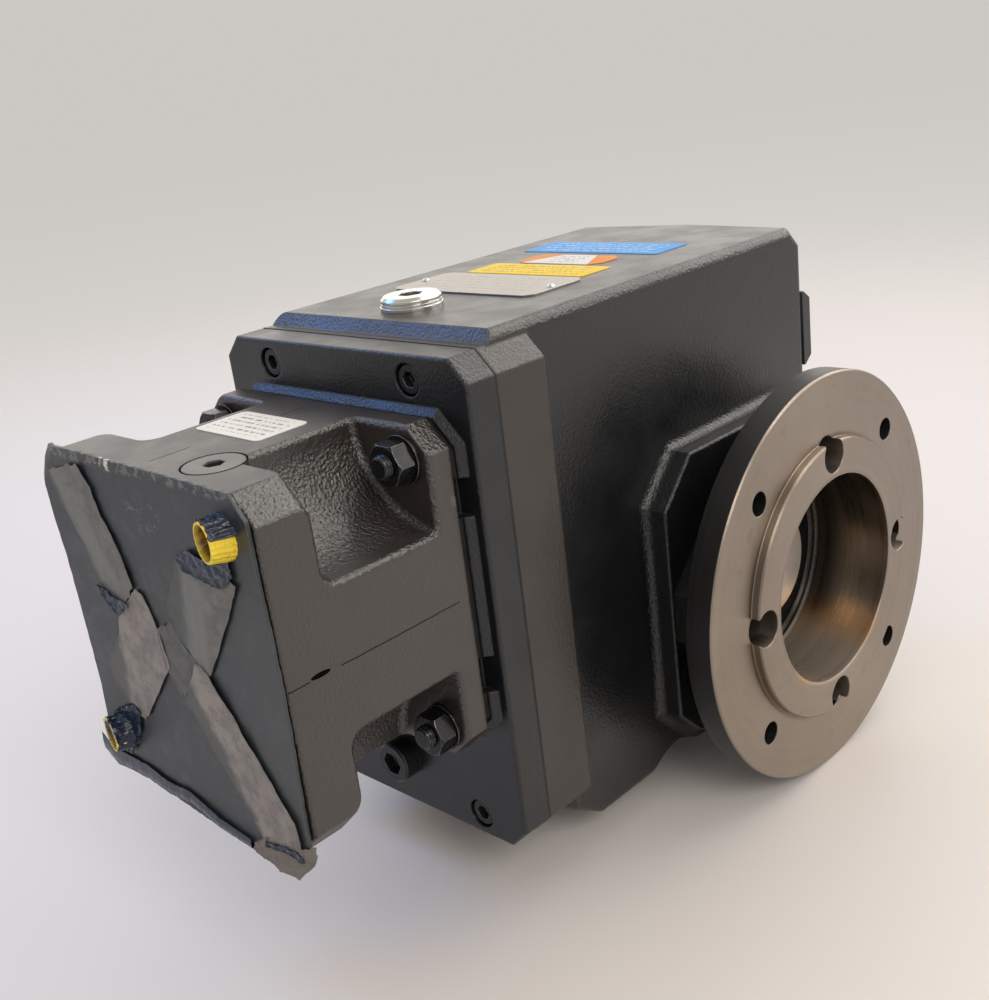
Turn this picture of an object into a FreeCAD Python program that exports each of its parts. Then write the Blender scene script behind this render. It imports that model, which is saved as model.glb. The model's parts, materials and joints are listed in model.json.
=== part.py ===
import FreeCAD, Part
import math
import os

from FreeCAD import Rotation, Vector

# Right-angle bevel and spur gear reducer with a square motor adapter and a round output flange.
# Millimetres. The mounting face of the output flange is the plane x = 0 and the output axis is
# the x axis, +z is up, and the motor adapter points along -y.

# Output flange
flange_diameter = 160.0
flange_rim = 11.0
flange_depth = 30.7
flange_bore = 82.0
flange_edge_chamfer = 0.6
pilot_diameter = 110.0
pilot_height = 3.5
flange_bolt_circle = 130.0
flange_bolt_hole = 9.0
flange_bolt_count = 4
hub_reach = 58.5
hub_lobe_half_width = 9.6

# Screws that hold the flange to the housing pad
flange_screw_circle = 100.0
flange_screw_thread = 8.0
flange_screw_head = 13.0
flange_screw_head_height = 8.0
flange_screw_socket = 6.0
flange_screw_hole = 9.0
flange_screw_counterbore = 13.9
flange_screw_seat = 10.0
flange_screw_grip = 14.0
flange_screw_tap = 6.8

# Housing
centre_plane = 96.0
box_half_width = 55.2
box_top = 124.7
box_bottom = -68.0
box_front = -124.5
box_rear = 56.8
box_rear_chamfer = 8.0
box_toe_rise = 8.5
box_toe_length = 13.0
box_edge_radius = 4.0
foot_scallop_middle = -50.0
foot_scallop_radius = 29.0
foot_scallop_width = 12.0
foot_scallop_height = 8.0
wall = 7.2
chamber_toe = 16.0
pad_half = 59.5
pad_cut = 17.3
pad_edge_radius = 1.2
pad_foot_radius = 4.0
rear_pad_height = 4.6
rear_pad_low = 66.5
rear_pad_high = 97.5
rear_pad_bevel = 3.4

# Joint between housing and front cover
joint_half_width = 62.0
joint_top = 120.6
joint_bottom = -53.0
joint_corner = 7.45
joint_rear = -110.1
joint_face = -132.8
gasket_thickness = 0.6
gasket_inset = 0.4
joint_edge_radius = 1.0
opening_half_width = 46.0
opening_top = 103.0
opening_bottom = -36.0
opening_radius = 12.0

# Front cover
cover_face = -145.9
platform_margin = 1.0
platform_cut = 9.8
platform_height = 2.3
snout_radius = 34.0
snout_end = -89.0
spigot_radius = 24.9
spigot_height = 5.8
cover_screw_thread = 6.0
cover_screw_head = 10.0
cover_screw_head_height = 6.0
cover_screw_socket = 5.0
cover_screw_hole = 6.6
cover_screw_counterbore = 11.0
cover_screw_recess = 6.8
cover_screw_grip = 14.0
cover_screw_top = (35.6, 112.3)
cover_screw_low = (41.0, -44.8)
drain_plug_place = (3.8, -33.6)
drain_plug_head = 15.4
drain_plug_height = 7.0
drain_plug_thread = 10.0
drain_plug_socket = 8.0
drain_plug_length = 9.0
cover_edge_radius = 1.2

# Motor adapter
input_height = 46.3
adapter_half = 57.0
adapter_cut = 8.5
adapter_front = -223.9
adapter_front_flange = 19.1
adapter_rear_flange = 9.5
adapter_rear = -151.2
adapter_edge_radius = 1.0
pocket_strip = 24.0
pocket_web = 24.0
pocket_strip_pull = 17.0
pocket_web_pull = 19.0
pocket_front_radius = 5.0
pocket_rear_radius = 2.5
pocket_margin = 12.0
pocket_edge_radius = 2.0
pocket_corner_radius = 5.0
adapter_pilot = 95.0
adapter_pilot_depth = 6.0
adapter_chamber = 36.0
adapter_floor = 11.8
motor_bolt_inset = 13.3
motor_bolt_thread = 10.0
motor_bolt_depth = 17.0
stud_inset = 10.7
stud_thread = 8.0
stud_hole = 9.0
stud_reach = 2.6
stud_depth = 11.0
nut_flats = 13.0
nut_height = 6.5
nut_chamfer = 0.9
washer_diameter = 16.0
washer_bore = 8.6
washer_thickness = 1.6
shim_inset = 2.0
notch_near = 24.3
notch_far = 37.3
notch_depth = 6.0
access_plug_offset = 20.3
access_plug_setback = 14.1
access_plug_radius = 9.7
access_plug_thickness = 6.0
access_plug_socket = 6.0
access_hole_radius = 7.5

# Protective sheet and thread plugs on the motor side
sheet_thickness = 1.4
sheet_gap = 0.1
sheet_side_overhang = 2.0
sheet_side_flare = 3.5
sheet_bottom_overhang = 7.5
sheet_bottom_rise = 3.5
sheet_tip = 2.0
sheet_corner = 8.0
sheet_hole_radius = 7.0
thread_plug_collar = 13.0
thread_plug_mouth = 11.0
thread_plug_bore = 9.4
thread_plug_height = 5.4
thread_plug_shank = 9.6
thread_plug_shank_bore = 7.0
thread_plug_shank_length = 12.0
thread_plug_floor = 1.5

# Plugs, plate and rivets on top of the housing
fill_plug_place = (3.0, -105.5)
fill_plug_head = 21.6
fill_plug_head_height = 3.4
fill_plug_edge = 1.1
fill_plug_groove = 0.5
fill_plug_thread = 16.0
fill_plug_socket = 8.0
fill_ring_radius = 11.2
fill_ring_thickness = 1.3
nameplate_half_length = 35.6
nameplate_shift = -2.5
nameplate_front = -84.0
nameplate_rear = -53.4
nameplate_thickness = 0.6
nameplate_corner = 3.0
rivet_radius = 1.7
rivet_height = 0.9
rivet_shank_radius = 1.0
rivet_shank_depth = 3.0
rivet_half_spacing = 32.3

# Gear train
tooth_module = 2.0
output_teeth = 45
drive_teeth = 19
wheel_teeth = 40
pinion_teeth = 13
pressure_angle = 20.0
backlash = 0.24
gear_face = 24.0
drive_face = 26.0
gear_centre_plane = -79.0
bevel_face = 13.0
bevel_backlash = 0.30
wheel_back = 12.0
wheel_hub_radius = 16.5
wheel_hub_flange = 12.0

# Output shaft and its bearings
shaft_journal = 45.0
shaft_overhang = 5.7
shaft_bore = 20.0
keyway_width = 6.0
keyway_depth = 2.8
collar_diameter = 52.0
shaft_waist = 40.0
shaft_waist_run_out = 4.0
output_bearing = (45.0, 75.0, 16.0)
output_lip = 3.0
output_lip_radius = 33.0
output_boss_radius = 44.0
output_bearing_inset = 12.3
output_seal_width = 8.0
output_seal_recess = 0.8
circlip_thickness = 2.5
circlip_depth = 1.6
circlip_band = 5.0
gear_key = (14.0, 9.0, 20.0)
gear_key_seat = 5.5
key_top_gap = 0.2
gear_bore_wall = 9.0

# Intermediate shaft and its bearings
intermediate_bearing = (20.0, 47.0, 14.0)
intermediate_boss_radius = 29.0
intermediate_right_seat = -61.0
intermediate_left_seat = -134.0
intermediate_seat_relief = 1.0
intermediate_seat_lip = 4.0
intermediate_body = 26.0
wheel_seat = 24.0
cap_thickness = 6.0
cap_gap = 2.0
wheel_key = (8.0, 7.0, 12.0)
wheel_key_seat = 4.0
wheel_key_setback = 1.0
spacer_length = 6.0
spacer_wall = 3.0

# Bevel pinion shaft, its bearings, seal and clamping hub
pinion_bearing = (25.0, 52.0, 15.0)
pinion_rear_bearing = -93.0
pinion_bearing_spacing = 30.0
pinion_collar = 31.0
pinion_core_radius = 6.0
pinion_sleeve_wall = 3.0
seal_width = 7.0
seal_outer = 40.0
stub_diameter = 22.0
stub_grip = 22.0
stub_end_gap = 1.0
hub_outer = 44.0
hub_back_gap = 3.0
hub_recess = 7.9
hub_bore = 24.0
clamp_ring_radius = 29.0
clamp_ring_width = 13.0
clamp_screw_rise = 8.0
clamp_slit_run = 3.0
clamp_slit = 2.0
clamp_screw_thread = 6.0
clamp_screw_head = 10.0
clamp_screw_socket = 5.0
clamp_screw_length = 26.0

# Small clearances, and how far fused solids run into each other
thread_clearance = 0.1
fusing_depth = 5.0
running_gap = 0.3
fillet_gap = 0.5
shield_thickness = 1.0

# Places worked out from the sizes above
pad_face = -flange_depth
box_right = -centre_plane + box_half_width
box_left = -centre_plane - box_half_width
left_pad_face = -2 * centre_plane - pad_face
drive_radius = tooth_module * drive_teeth / 2
output_radius = tooth_module * output_teeth / 2
wheel_radius = tooth_module * wheel_teeth / 2
pinion_radius = tooth_module * pinion_teeth / 2
centre_distance = output_radius + drive_radius
intermediate_y = -math.sqrt(centre_distance ** 2 - input_height ** 2)
platform_face = cover_face - platform_height
gear_left = gear_centre_plane - gear_face / 2
gear_right = gear_centre_plane + gear_face / 2
bearing_right = pad_face - output_bearing_inset
shaft_right = pad_face + shaft_overhang
shaft_left = -2 * centre_plane - shaft_right
wheel_pitch_plane = -centre_plane - pinion_radius
wheel_back_plane = wheel_pitch_plane - wheel_back
pinion_pitch_plane = intermediate_y - wheel_radius
adapter_top = input_height + adapter_half
flange_back = adapter_front + adapter_front_flange
nut_face = adapter_rear - adapter_rear_flange
chamber_floor = adapter_rear - adapter_floor
pinion_front_bearing = pinion_rear_bearing - pinion_bearing_spacing
platform_half = adapter_half + platform_margin
stud_offset = adapter_half - stud_inset
nut_seat = nut_face - washer_thickness
stud_end = nut_seat - nut_height - stud_reach
motor_bolt_offset = adapter_half - motor_bolt_inset
access_x = -centre_plane + access_plug_offset
access_y = adapter_front + access_plug_setback
wheel_hub_end = intermediate_left_seat + spacer_length
hub_rear = chamber_floor + hub_back_gap
hub_front = adapter_front + hub_recess
stub_end = hub_rear - stub_grip
hub_bore_end = stub_end - stub_end_gap
clamp_ring_rear = hub_front + clamp_ring_width
clamp_seat = input_height + clamp_screw_rise
sheet_back = adapter_front - sheet_gap
sheet_front = sheet_back - sheet_thickness


# Basic solids

def box(x0, x1, y0, y1, z0, z1):
    return Part.makeBox(x1 - x0, y1 - y0, z1 - z0, Vector(x0, y0, z0))


def cylinder_x(x0, x1, radius, y=0.0, z=0.0):
    return Part.makeCylinder(radius, x1 - x0, Vector(x0, y, z), Vector(1, 0, 0))


def cylinder_y(y0, y1, radius, x=-centre_plane, z=input_height):
    return Part.makeCylinder(radius, y1 - y0, Vector(x, y0, z), Vector(0, 1, 0))


def cylinder_z(z0, z1, radius, x, y):
    return Part.makeCylinder(radius, z1 - z0, Vector(x, y, z0), Vector(0, 0, 1))


def tube_x(x0, x1, outer, inner, y=0.0, z=0.0):
    return cylinder_x(x0, x1, outer, y, z).cut(cylinder_x(x0 - 1, x1 + 1, inner, y, z))


def tube_y(y0, y1, outer, inner, x=-centre_plane, z=input_height):
    return cylinder_y(y0, y1, outer, x, z).cut(cylinder_y(y0 - 1, y1 + 1, inner, x, z))


def face_of(points):
    return Part.Face(Part.makePolygon(points + points[:1]))


def prism_x(outline, x0, x1):
    return face_of([Vector(x0, y, z) for y, z in outline]).extrude(Vector(x1 - x0, 0, 0))


def prism_y(outline, y0, y1):
    return face_of([Vector(x, y0, z) for x, z in outline]).extrude(Vector(0, y1 - y0, 0))


def prism_z(outline, z0, z1):
    return face_of([Vector(x, y, z0) for x, y in outline]).extrude(Vector(0, 0, z1 - z0))


def octagon(u0, u1, v0, v1, cut):
    return [
        (u0 + cut, v0), (u1 - cut, v0), (u1, v0 + cut), (u1, v1 - cut),
        (u1 - cut, v1), (u0 + cut, v1), (u0, v1 - cut), (u0, v0 + cut),
    ]


def joint_outline(inset):
    return octagon(-centre_plane - joint_half_width + inset, -centre_plane + joint_half_width - inset,
                   joint_bottom + inset, joint_top - inset, joint_corner)


def square_outline(half, cut):
    return octagon(-centre_plane - half, -centre_plane + half,
                   input_height - half, input_height + half, cut)


def cut_all(solid, tools):
    return solid.cut(Part.makeCompound(tools))


def fuse_all(solids):
    return solids[0].multiFuse(solids[1:]).removeSplitter()


def edges_where(shape, test):
    return [edge for edge in shape.Edges if test(edge.BoundBox)]


def hexagon_y(y0, y1, flats, x, z):
    radius = flats / math.sqrt(3)
    corners = [(x + radius * math.cos(math.radians(60 * k)), z + radius * math.sin(math.radians(60 * k)))
               for k in range(6)]
    return prism_y(corners, y0, y1)


def hexagon_x(x0, x1, flats, y, z):
    radius = flats / math.sqrt(3)
    corners = [(y + radius * math.cos(math.radians(60 * k)), z + radius * math.sin(math.radians(60 * k)))
               for k in range(6)]
    return prism_x(corners, x0, x1)


def hexagon_z(z0, z1, flats, x, y):
    radius = flats / math.sqrt(3)
    corners = [(x + radius * math.cos(math.radians(60 * k)), y + radius * math.sin(math.radians(60 * k)))
               for k in range(6)]
    return prism_z(corners, z0, z1)


def around_x(radius, count, start):
    turns = [math.radians(start + 360.0 * k / count) for k in range(count)]
    return [(radius * math.cos(turn), radius * math.sin(turn)) for turn in turns]


def four_corners(offset):
    return [(-centre_plane + a * offset, input_height + b * offset) for a in (-1, 1) for b in (-1, 1)]


def edge_notches(half, y0, y1):
    edge = -centre_plane + half
    spans = ((input_height - notch_far, input_height - notch_near),
             (input_height + notch_near, input_height + notch_far))
    return [box(edge - notch_depth, edge + 1, y0, y1, low, high) for low, high in spans]


def cover_screw_places():
    top_x, top_z = cover_screw_top
    low_x, low_z = cover_screw_low
    return [(-centre_plane + side * x, z) for side in (-1, 1) for x, z in ((top_x, top_z), (low_x, low_z))]


# Output flange and its screws

def output_flange():
    radius = flange_diameter / 2
    pilot = pilot_diameter / 2
    rim = cylinder_x(-flange_rim, 0, radius)
    rim = rim.makeChamfer(flange_edge_chamfer, edges_where(rim, lambda b: b.XLength < 0.01))
    spigot = cylinder_x(-flange_rim, pilot_height, pilot)
    spigot_rim = edges_where(spigot, lambda b: b.XMin > pilot_height - 0.01)
    spigot = spigot.makeChamfer(flange_edge_chamfer, spigot_rim)
    reach = hub_reach
    width = hub_lobe_half_width
    lobes = [(reach, -width), (reach, width), (width, reach), (-width, reach),
             (-reach, width), (-reach, -width), (-width, -reach), (width, -reach)]
    hub = prism_x(lobes, pad_face, -flange_rim)
    body = fuse_all([rim, spigot, hub])
    tools = [cylinder_x(pad_face - 1, pilot_height + 1, flange_bore / 2)]
    for y, z in around_x(flange_bolt_circle / 2, flange_bolt_count, 45):
        tools.append(cylinder_x(-flange_rim - 1, 1, flange_bolt_hole / 2, y, z))
    counterbore = flange_screw_counterbore / 2
    for y, z in around_x(flange_screw_circle / 2, 4, 0):
        tools.append(cylinder_x(pad_face - 1, pilot_height + 1, flange_screw_hole / 2, y, z))
        tools.append(cylinder_x(pad_face + flange_screw_seat, pilot_height + 1, counterbore, y, z))
    return cut_all(body, tools)


def socket_screw_x(seat, y, z):
    head = cylinder_x(seat, seat + flange_screw_head_height, flange_screw_head / 2, y, z)
    shank = cylinder_x(pad_face - flange_screw_grip, seat, flange_screw_thread / 2, y, z)
    socket = hexagon_x(seat + flange_screw_head_height / 2, seat + flange_screw_head_height + 1,
                       flange_screw_socket, y, z)
    return head.fuse(shank).cut(socket)


def flange_screws():
    seat = pad_face + flange_screw_seat
    return Part.makeCompound([socket_screw_x(seat, y, z) for y, z in around_x(flange_screw_circle / 2, 4, 0)])


# Housing

def rear_corner_facets():
    facets = []
    middle = -centre_plane
    for side in (box_left, box_right):
        for end, inward in ((box_top, -1), (box_bottom, 1)):
            corner = Vector(side, box_rear, end)
            ahead = Vector(side, box_rear - box_rear_chamfer, end)
            below = Vector(side, box_rear, end + inward * box_rear_chamfer)
            centre = Vector(middle, box_rear, end)
            faces = [face_of([corner, ahead, below]), face_of([corner, ahead, centre]),
                     face_of([corner, below, centre]), face_of([ahead, below, centre])]
            facets.append(Part.makeSolid(Part.makeShell(faces)))
    return facets


def foot_scallops():
    slope = math.hypot(foot_scallop_width, foot_scallop_height)
    scallops = []
    for side in (-1, 1):
        along = Vector(side * foot_scallop_width / slope, 0, foot_scallop_height / slope)
        inward = Vector(-side * foot_scallop_height / slope, 0, foot_scallop_width / slope)
        edge = Vector(-centre_plane + side * box_half_width, foot_scallop_middle,
                      box_bottom + foot_scallop_height)
        start = edge - inward * foot_scallop_radius - along * 2 * slope
        scallops.append(Part.makeCylinder(foot_scallop_radius, 3 * slope, start, along))
    return scallops


def rear_pads():
    middle = (box_top + box_bottom) / 2
    face = box_rear + rear_pad_height
    pads = []
    for low, high in ((rear_pad_low, rear_pad_high), (2 * middle - rear_pad_high, 2 * middle - rear_pad_low)):
        outline = [(box_rear - 1, low), (box_rear, low), (face, low + rear_pad_bevel),
                   (face, high - rear_pad_bevel), (box_rear, high), (box_rear - 1, high)]
        pads.append(prism_x(outline, box_left, box_right))
    return pads


def side_pads():
    pads = []
    for low, high in ((box_right - fusing_depth, pad_face), (left_pad_face, box_left + fusing_depth)):
        pad = prism_x(octagon(-pad_half, pad_half, -pad_half, pad_half, pad_cut), low, high)
        outer = high if high == pad_face else low
        rims = edges_where(pad, lambda b: b.XLength < 0.01 and abs(b.XMin - outer) < 0.01)
        pads.append(pad.makeFillet(pad_edge_radius, rims))
    return pads


def on_pad_foot(bounds):
    on_side = min(abs(bounds.XMin - box_right), abs(bounds.XMin - box_left)) < 0.01
    within = max(abs(bounds.ZMin), abs(bounds.ZMax), abs(bounds.YMin)) < pad_half + 0.01
    return bounds.XLength < 0.01 and on_side and within and bounds.YMin < box_rear - pad_cut


def housing_outside():
    joint_rise = box_top - joint_top
    step = box_front - joint_rise
    lower = joint_bottom + joint_corner
    profile = [
        (step, joint_top), (box_front, box_top), (box_rear, box_top), (box_rear, box_bottom),
        (joint_rear + box_toe_length, box_bottom), (joint_rear, box_bottom + box_toe_rise),
        (joint_rear - fusing_depth, lower), (step, lower),
    ]
    shell = cut_all(prism_x(profile, box_left, box_right), rear_corner_facets())
    long_edges = edges_where(shell, lambda b: b.XLength < 0.01 and b.YMax > joint_rear + 1)
    shell = shell.makeFillet(box_edge_radius, long_edges)
    flange = prism_y(joint_outline(0.0), joint_face, joint_rear)
    flange = flange.makeFillet(joint_edge_radius, edges_where(flange, lambda b: b.YMin > joint_rear - 0.01))
    case = fuse_all([shell] + side_pads())
    foot_radius = min(pad_foot_radius, pad_face - box_right - pad_edge_radius - fillet_gap)
    case = case.makeFillet(foot_radius, edges_where(case, on_pad_foot))
    boss = cylinder_x(left_pad_face, box_left + fusing_depth, intermediate_boss_radius,
                      intermediate_y, input_height)
    return cut_all(fuse_all([case, flange, boss] + rear_pads()), foot_scallops())


def housing_inside():
    floor = box_bottom + wall
    profile = [(joint_rear, box_top - wall), (joint_rear, floor + chamber_toe),
               (joint_rear + chamber_toe, floor), (box_rear - wall, floor), (box_rear - wall, box_top - wall)]
    chamber = prism_x(profile, box_left + wall, box_right - wall)
    mouth = prism_y(octagon(-centre_plane - opening_half_width, -centre_plane + opening_half_width,
                            opening_bottom, opening_top, opening_radius), joint_face - 1, joint_rear + 1)
    bosses = []
    for inner, outer in ((bearing_right - output_bearing[2] - output_lip, box_right),
                         (box_left, -2 * centre_plane - bearing_right + output_bearing[2] + output_lip)):
        bosses.append(cylinder_x(inner, outer, output_boss_radius))
    for inner, outer in ((intermediate_right_seat, box_right), (box_left, intermediate_left_seat)):
        bosses.append(cylinder_x(inner, outer, intermediate_boss_radius, intermediate_y, input_height))
    return cut_all(chamber, bosses).fuse(mouth)


def output_bore_tools():
    tools = []
    for side in (1, -1):
        def place(x):
            return x if side == 1 else -2 * centre_plane - x
        stops = [
            (pad_face + 1, bearing_right - output_bearing[2], output_bearing[1] / 2),
            (bearing_right, bearing_right + circlip_thickness, output_bearing[1] / 2 + circlip_depth),
            (pad_face, bearing_right - output_bearing[2] - output_lip - 1, output_lip_radius),
        ]
        for a, b, radius in stops:
            ends = sorted((place(a), place(b)))
            tools.append(cylinder_x(ends[0], ends[1], radius))
    return tools


def intermediate_bore_tools():
    radius = intermediate_bearing[1] / 2
    width = intermediate_bearing[2]
    floor = intermediate_right_seat + width
    right = cylinder_x(intermediate_right_seat - 1, floor, radius, intermediate_y, input_height)
    relief = cylinder_x(floor - 1, floor + intermediate_seat_relief, radius - intermediate_seat_lip,
                        intermediate_y, input_height)
    left = cylinder_x(left_pad_face - 1, intermediate_left_seat + 1, radius, intermediate_y, input_height)
    groove_right = intermediate_left_seat - width
    groove = cylinder_x(groove_right - cap_gap, groove_right, radius + circlip_depth,
                        intermediate_y, input_height)
    return [right, relief, left, groove]


def housing():
    fill_x = -centre_plane - fill_plug_place[0]
    tools = [housing_inside()] + output_bore_tools() + intermediate_bore_tools()
    thread = flange_screw_thread / 2 + thread_clearance
    for y, z in around_x(flange_screw_circle / 2, 4, 0):
        tools.append(cylinder_x(pad_face - flange_screw_grip - 1, pad_face + 1, thread, y, z))
        tools.append(cylinder_x(left_pad_face - 1, left_pad_face + flange_screw_grip + 1,
                                flange_screw_tap / 2, y, z))
    for x, z in cover_screw_places():
        tools.append(cylinder_y(joint_face - 1, joint_face + cover_screw_grip + 1,
                                cover_screw_thread / 2 + thread_clearance, x, z))
    tools.append(cylinder_z(box_top - wall - 1, box_top + 1, fill_plug_thread / 2 + thread_clearance,
                            fill_x, fill_plug_place[1]))
    for x in rivet_places():
        tools.append(cylinder_z(box_top - rivet_shank_depth - 0.5, box_top + 1,
                                rivet_shank_radius + thread_clearance, x, nameplate_middle()))
    return cut_all(housing_outside(), tools)


def cover_gasket():
    back = joint_face
    front = joint_face - gasket_thickness
    plate = prism_y(joint_outline(gasket_inset), front, back)
    mouth = prism_y(octagon(-centre_plane - opening_half_width, -centre_plane + opening_half_width,
                            opening_bottom, opening_top, opening_radius), front - 1, back + 1)
    holes = [cylinder_y(front - 1, back + 1, cover_screw_hole / 2, x, z) for x, z in cover_screw_places()]
    return cut_all(plate, [mouth] + holes)


# Front cover, its screws and the drain plug

def pinion_bore_tools():
    radius = pinion_bearing[1] / 2
    front_stop = pinion_front_bearing - pinion_bearing[2]
    seal_inner = platform_face + 1 + seal_width
    return [
        cylinder_y(front_stop, snout_end + 1, radius),
        cylinder_y(pinion_rear_bearing, pinion_rear_bearing + cap_gap, radius + circlip_depth),
        cylinder_y(seal_inner - 1, front_stop + 1, radius - 4),
        cylinder_y(platform_face - spigot_height - 1, seal_inner, seal_outer / 2),
    ]


def front_cover():
    back = joint_face - gasket_thickness
    plate = prism_y(joint_outline(0.0), cover_face, back)
    plate = plate.makeFillet(cover_edge_radius, edges_where(plate, lambda b: b.YMax < cover_face + 0.01))
    platform = prism_y(square_outline(platform_half, platform_cut), platform_face, cover_face + 1)
    rim = edges_where(platform, lambda b: b.YLength < 0.01 and b.YMin < platform_face + 0.01)
    platform = platform.makeChamfer(platform_height - 0.05, rim)
    body = fuse_all([plate, platform, cylinder_y(back - 1, snout_end, snout_radius),
                     cylinder_y(platform_face - spigot_height, cover_face, spigot_radius)])
    tools = pinion_bore_tools()
    counterbore = cover_screw_counterbore / 2
    for x, z in cover_screw_places():
        tools.append(cylinder_y(cover_face - 1, back + 1, cover_screw_hole / 2, x, z))
        tools.append(cylinder_y(cover_face - 1, cover_face + cover_screw_recess, counterbore, x, z))
    for x, z in four_corners(stud_offset):
        tools.append(cylinder_y(platform_face - 1, platform_face + stud_depth + 0.5,
                                stud_thread / 2 + thread_clearance, x, z))
    drain_x = -centre_plane + drain_plug_place[0]
    tools.append(cylinder_y(cover_face - 1, cover_face + drain_plug_length + 0.5,
                            drain_plug_thread / 2 + thread_clearance, drain_x, drain_plug_place[1]))
    return cut_all(body, tools + edge_notches(platform_half, platform_face - 1, cover_face))


def cover_screws():
    screws = []
    seat = cover_face + cover_screw_recess
    front = seat - cover_screw_head_height
    for x, z in cover_screw_places():
        head = cylinder_y(front, seat, cover_screw_head / 2, x, z)
        head = head.makeChamfer(0.5, edges_where(head, lambda b: b.YMax < front + 0.01))
        shank = cylinder_y(seat, joint_face + cover_screw_grip, cover_screw_thread / 2, x, z)
        socket = hexagon_y(front - 1, front + cover_screw_head_height / 2, cover_screw_socket, x, z)
        screws.append(head.fuse(shank).cut(socket))
    return Part.makeCompound(screws)


def drain_plug():
    x = -centre_plane + drain_plug_place[0]
    z = drain_plug_place[1]
    front = cover_face - drain_plug_height
    head = cylinder_y(front, cover_face, drain_plug_head / 2, x, z)
    head = head.makeChamfer(0.8, edges_where(head, lambda b: b.YMax < front + 0.01))
    shank = cylinder_y(cover_face, cover_face + drain_plug_length, drain_plug_thread / 2, x, z)
    socket = hexagon_y(front - 1, front + drain_plug_height * 0.6, drain_plug_socket, x, z)
    return head.fuse(shank).cut(socket)


# Motor adapter

def corner_pocket(side, height):
    def at(u, v):
        return Vector(-centre_plane + side * u, flange_back, input_height + height * v)
    outside = adapter_half + pocket_margin
    curve = Part.BezierCurve()
    curve.setPoles([at(pocket_strip, adapter_half), at(pocket_strip, adapter_half - pocket_strip_pull),
                    at(adapter_half - pocket_web_pull, pocket_web), at(adapter_half, pocket_web)])
    section = Part.Wire([
        Part.makeLine(at(pocket_strip, outside), at(pocket_strip, adapter_half)),
        curve.toShape(),
        Part.makeLine(at(adapter_half, pocket_web), at(outside, pocket_web)),
        Part.makeLine(at(outside, pocket_web), at(outside, outside)),
        Part.makeLine(at(outside, outside), at(pocket_strip, outside)),
    ])
    pocket = Part.Face(section).extrude(Vector(0, nut_face - flange_back, 0))
    far_x = -centre_plane + side * outside
    far_z = input_height + height * outside

    def on_floor(bounds):
        beyond_x = abs(bounds.XMin - far_x) < 0.01 and abs(bounds.XMax - far_x) < 0.01
        beyond_z = abs(bounds.ZMin - far_z) < 0.01 and abs(bounds.ZMax - far_z) < 0.01
        return bounds.YLength < 0.01 and not beyond_x and not beyond_z
    front = edges_where(pocket, lambda b: on_floor(b) and abs(b.YMin - flange_back) < 0.01)
    pocket = pocket.makeFillet(pocket_front_radius, front)
    rear = edges_where(pocket, lambda b: on_floor(b) and abs(b.YMin - nut_face) < 0.01)
    return pocket.makeFillet(pocket_rear_radius, rear)


def on_pocket_mouth(bounds):
    within = bounds.YMin > flange_back - 0.01 and bounds.YMax < nut_face + 0.01
    across = (bounds.XMin + bounds.XMax) / 2 + centre_plane
    rise = (bounds.ZMin + bounds.ZMax) / 2 - input_height
    outside = max(abs(across), abs(rise)) > adapter_half - 0.01
    flat = bounds.XLength < 0.01 or bounds.ZLength < 0.01
    return within and outside and flat


def on_pocket_corner(bounds):
    reach = adapter_half - adapter_cut / 2
    across = abs((bounds.XMin + bounds.XMax) / 2 + centre_plane)
    rise = abs((bounds.ZMin + bounds.ZMax) / 2 - input_height)
    slanted = abs(bounds.XLength - bounds.ZLength) < 0.01 and bounds.XLength > adapter_cut / 2
    on_back = bounds.YLength < 0.01 and abs(bounds.YMin - flange_back) < 0.01
    return slanted and on_back and min(across, rise) > reach - 0.5


def motor_adapter():
    body = prism_y(square_outline(adapter_half, adapter_cut), adapter_front, adapter_rear)
    ends = edges_where(body, lambda b: b.YLength < 0.01)
    body = body.makeFillet(adapter_edge_radius, ends)
    body = cut_all(body, [corner_pocket(side, height) for side in (-1, 1) for height in (-1, 1)])
    body = body.makeFillet(pocket_corner_radius, edges_where(body, on_pocket_corner))
    body = body.makeFillet(pocket_edge_radius, edges_where(body, on_pocket_mouth))
    bores = [
        cylinder_y(adapter_front - 1, adapter_front + adapter_pilot_depth, adapter_pilot / 2),
        cylinder_y(adapter_front, chamber_floor, adapter_chamber),
        cylinder_y(chamber_floor - 1, adapter_rear + 1, spigot_radius + thread_clearance),
        cylinder_z(input_height, adapter_top + 1, access_hole_radius, access_x, access_y),
        cylinder_z(adapter_top - access_plug_thickness, adapter_top + 1,
                   access_plug_radius + thread_clearance, access_x, access_y),
    ]
    for x, z in four_corners(motor_bolt_offset):
        bores.append(cylinder_y(adapter_front - 1, adapter_front + motor_bolt_depth,
                                motor_bolt_thread / 2 + thread_clearance, x, z))
    for x, z in four_corners(stud_offset):
        bores.append(cylinder_y(nut_face - 1, adapter_rear + 1, stud_hole / 2, x, z))
    return cut_all(body, bores)


def adapter_shim():
    plate = prism_y(square_outline(adapter_half - shim_inset, adapter_cut), adapter_rear, platform_face)
    tools = [cylinder_y(adapter_rear - 1, platform_face + 1, spigot_radius + thread_clearance)]
    tools += edge_notches(adapter_half, adapter_rear - 1, platform_face + 1)
    for x, z in four_corners(stud_offset):
        tools.append(cylinder_y(adapter_rear - 1, platform_face + 1, stud_hole / 2, x, z))
    return cut_all(plate, tools)


def adapter_studs():
    studs = []
    for x, z in four_corners(stud_offset):
        stud = cylinder_y(stud_end, platform_face + stud_depth, stud_thread / 2, x, z)
        studs.append(stud.makeChamfer(0.8, edges_where(stud, lambda b: b.YLength < 0.01)))
    return Part.makeCompound(studs)


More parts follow.
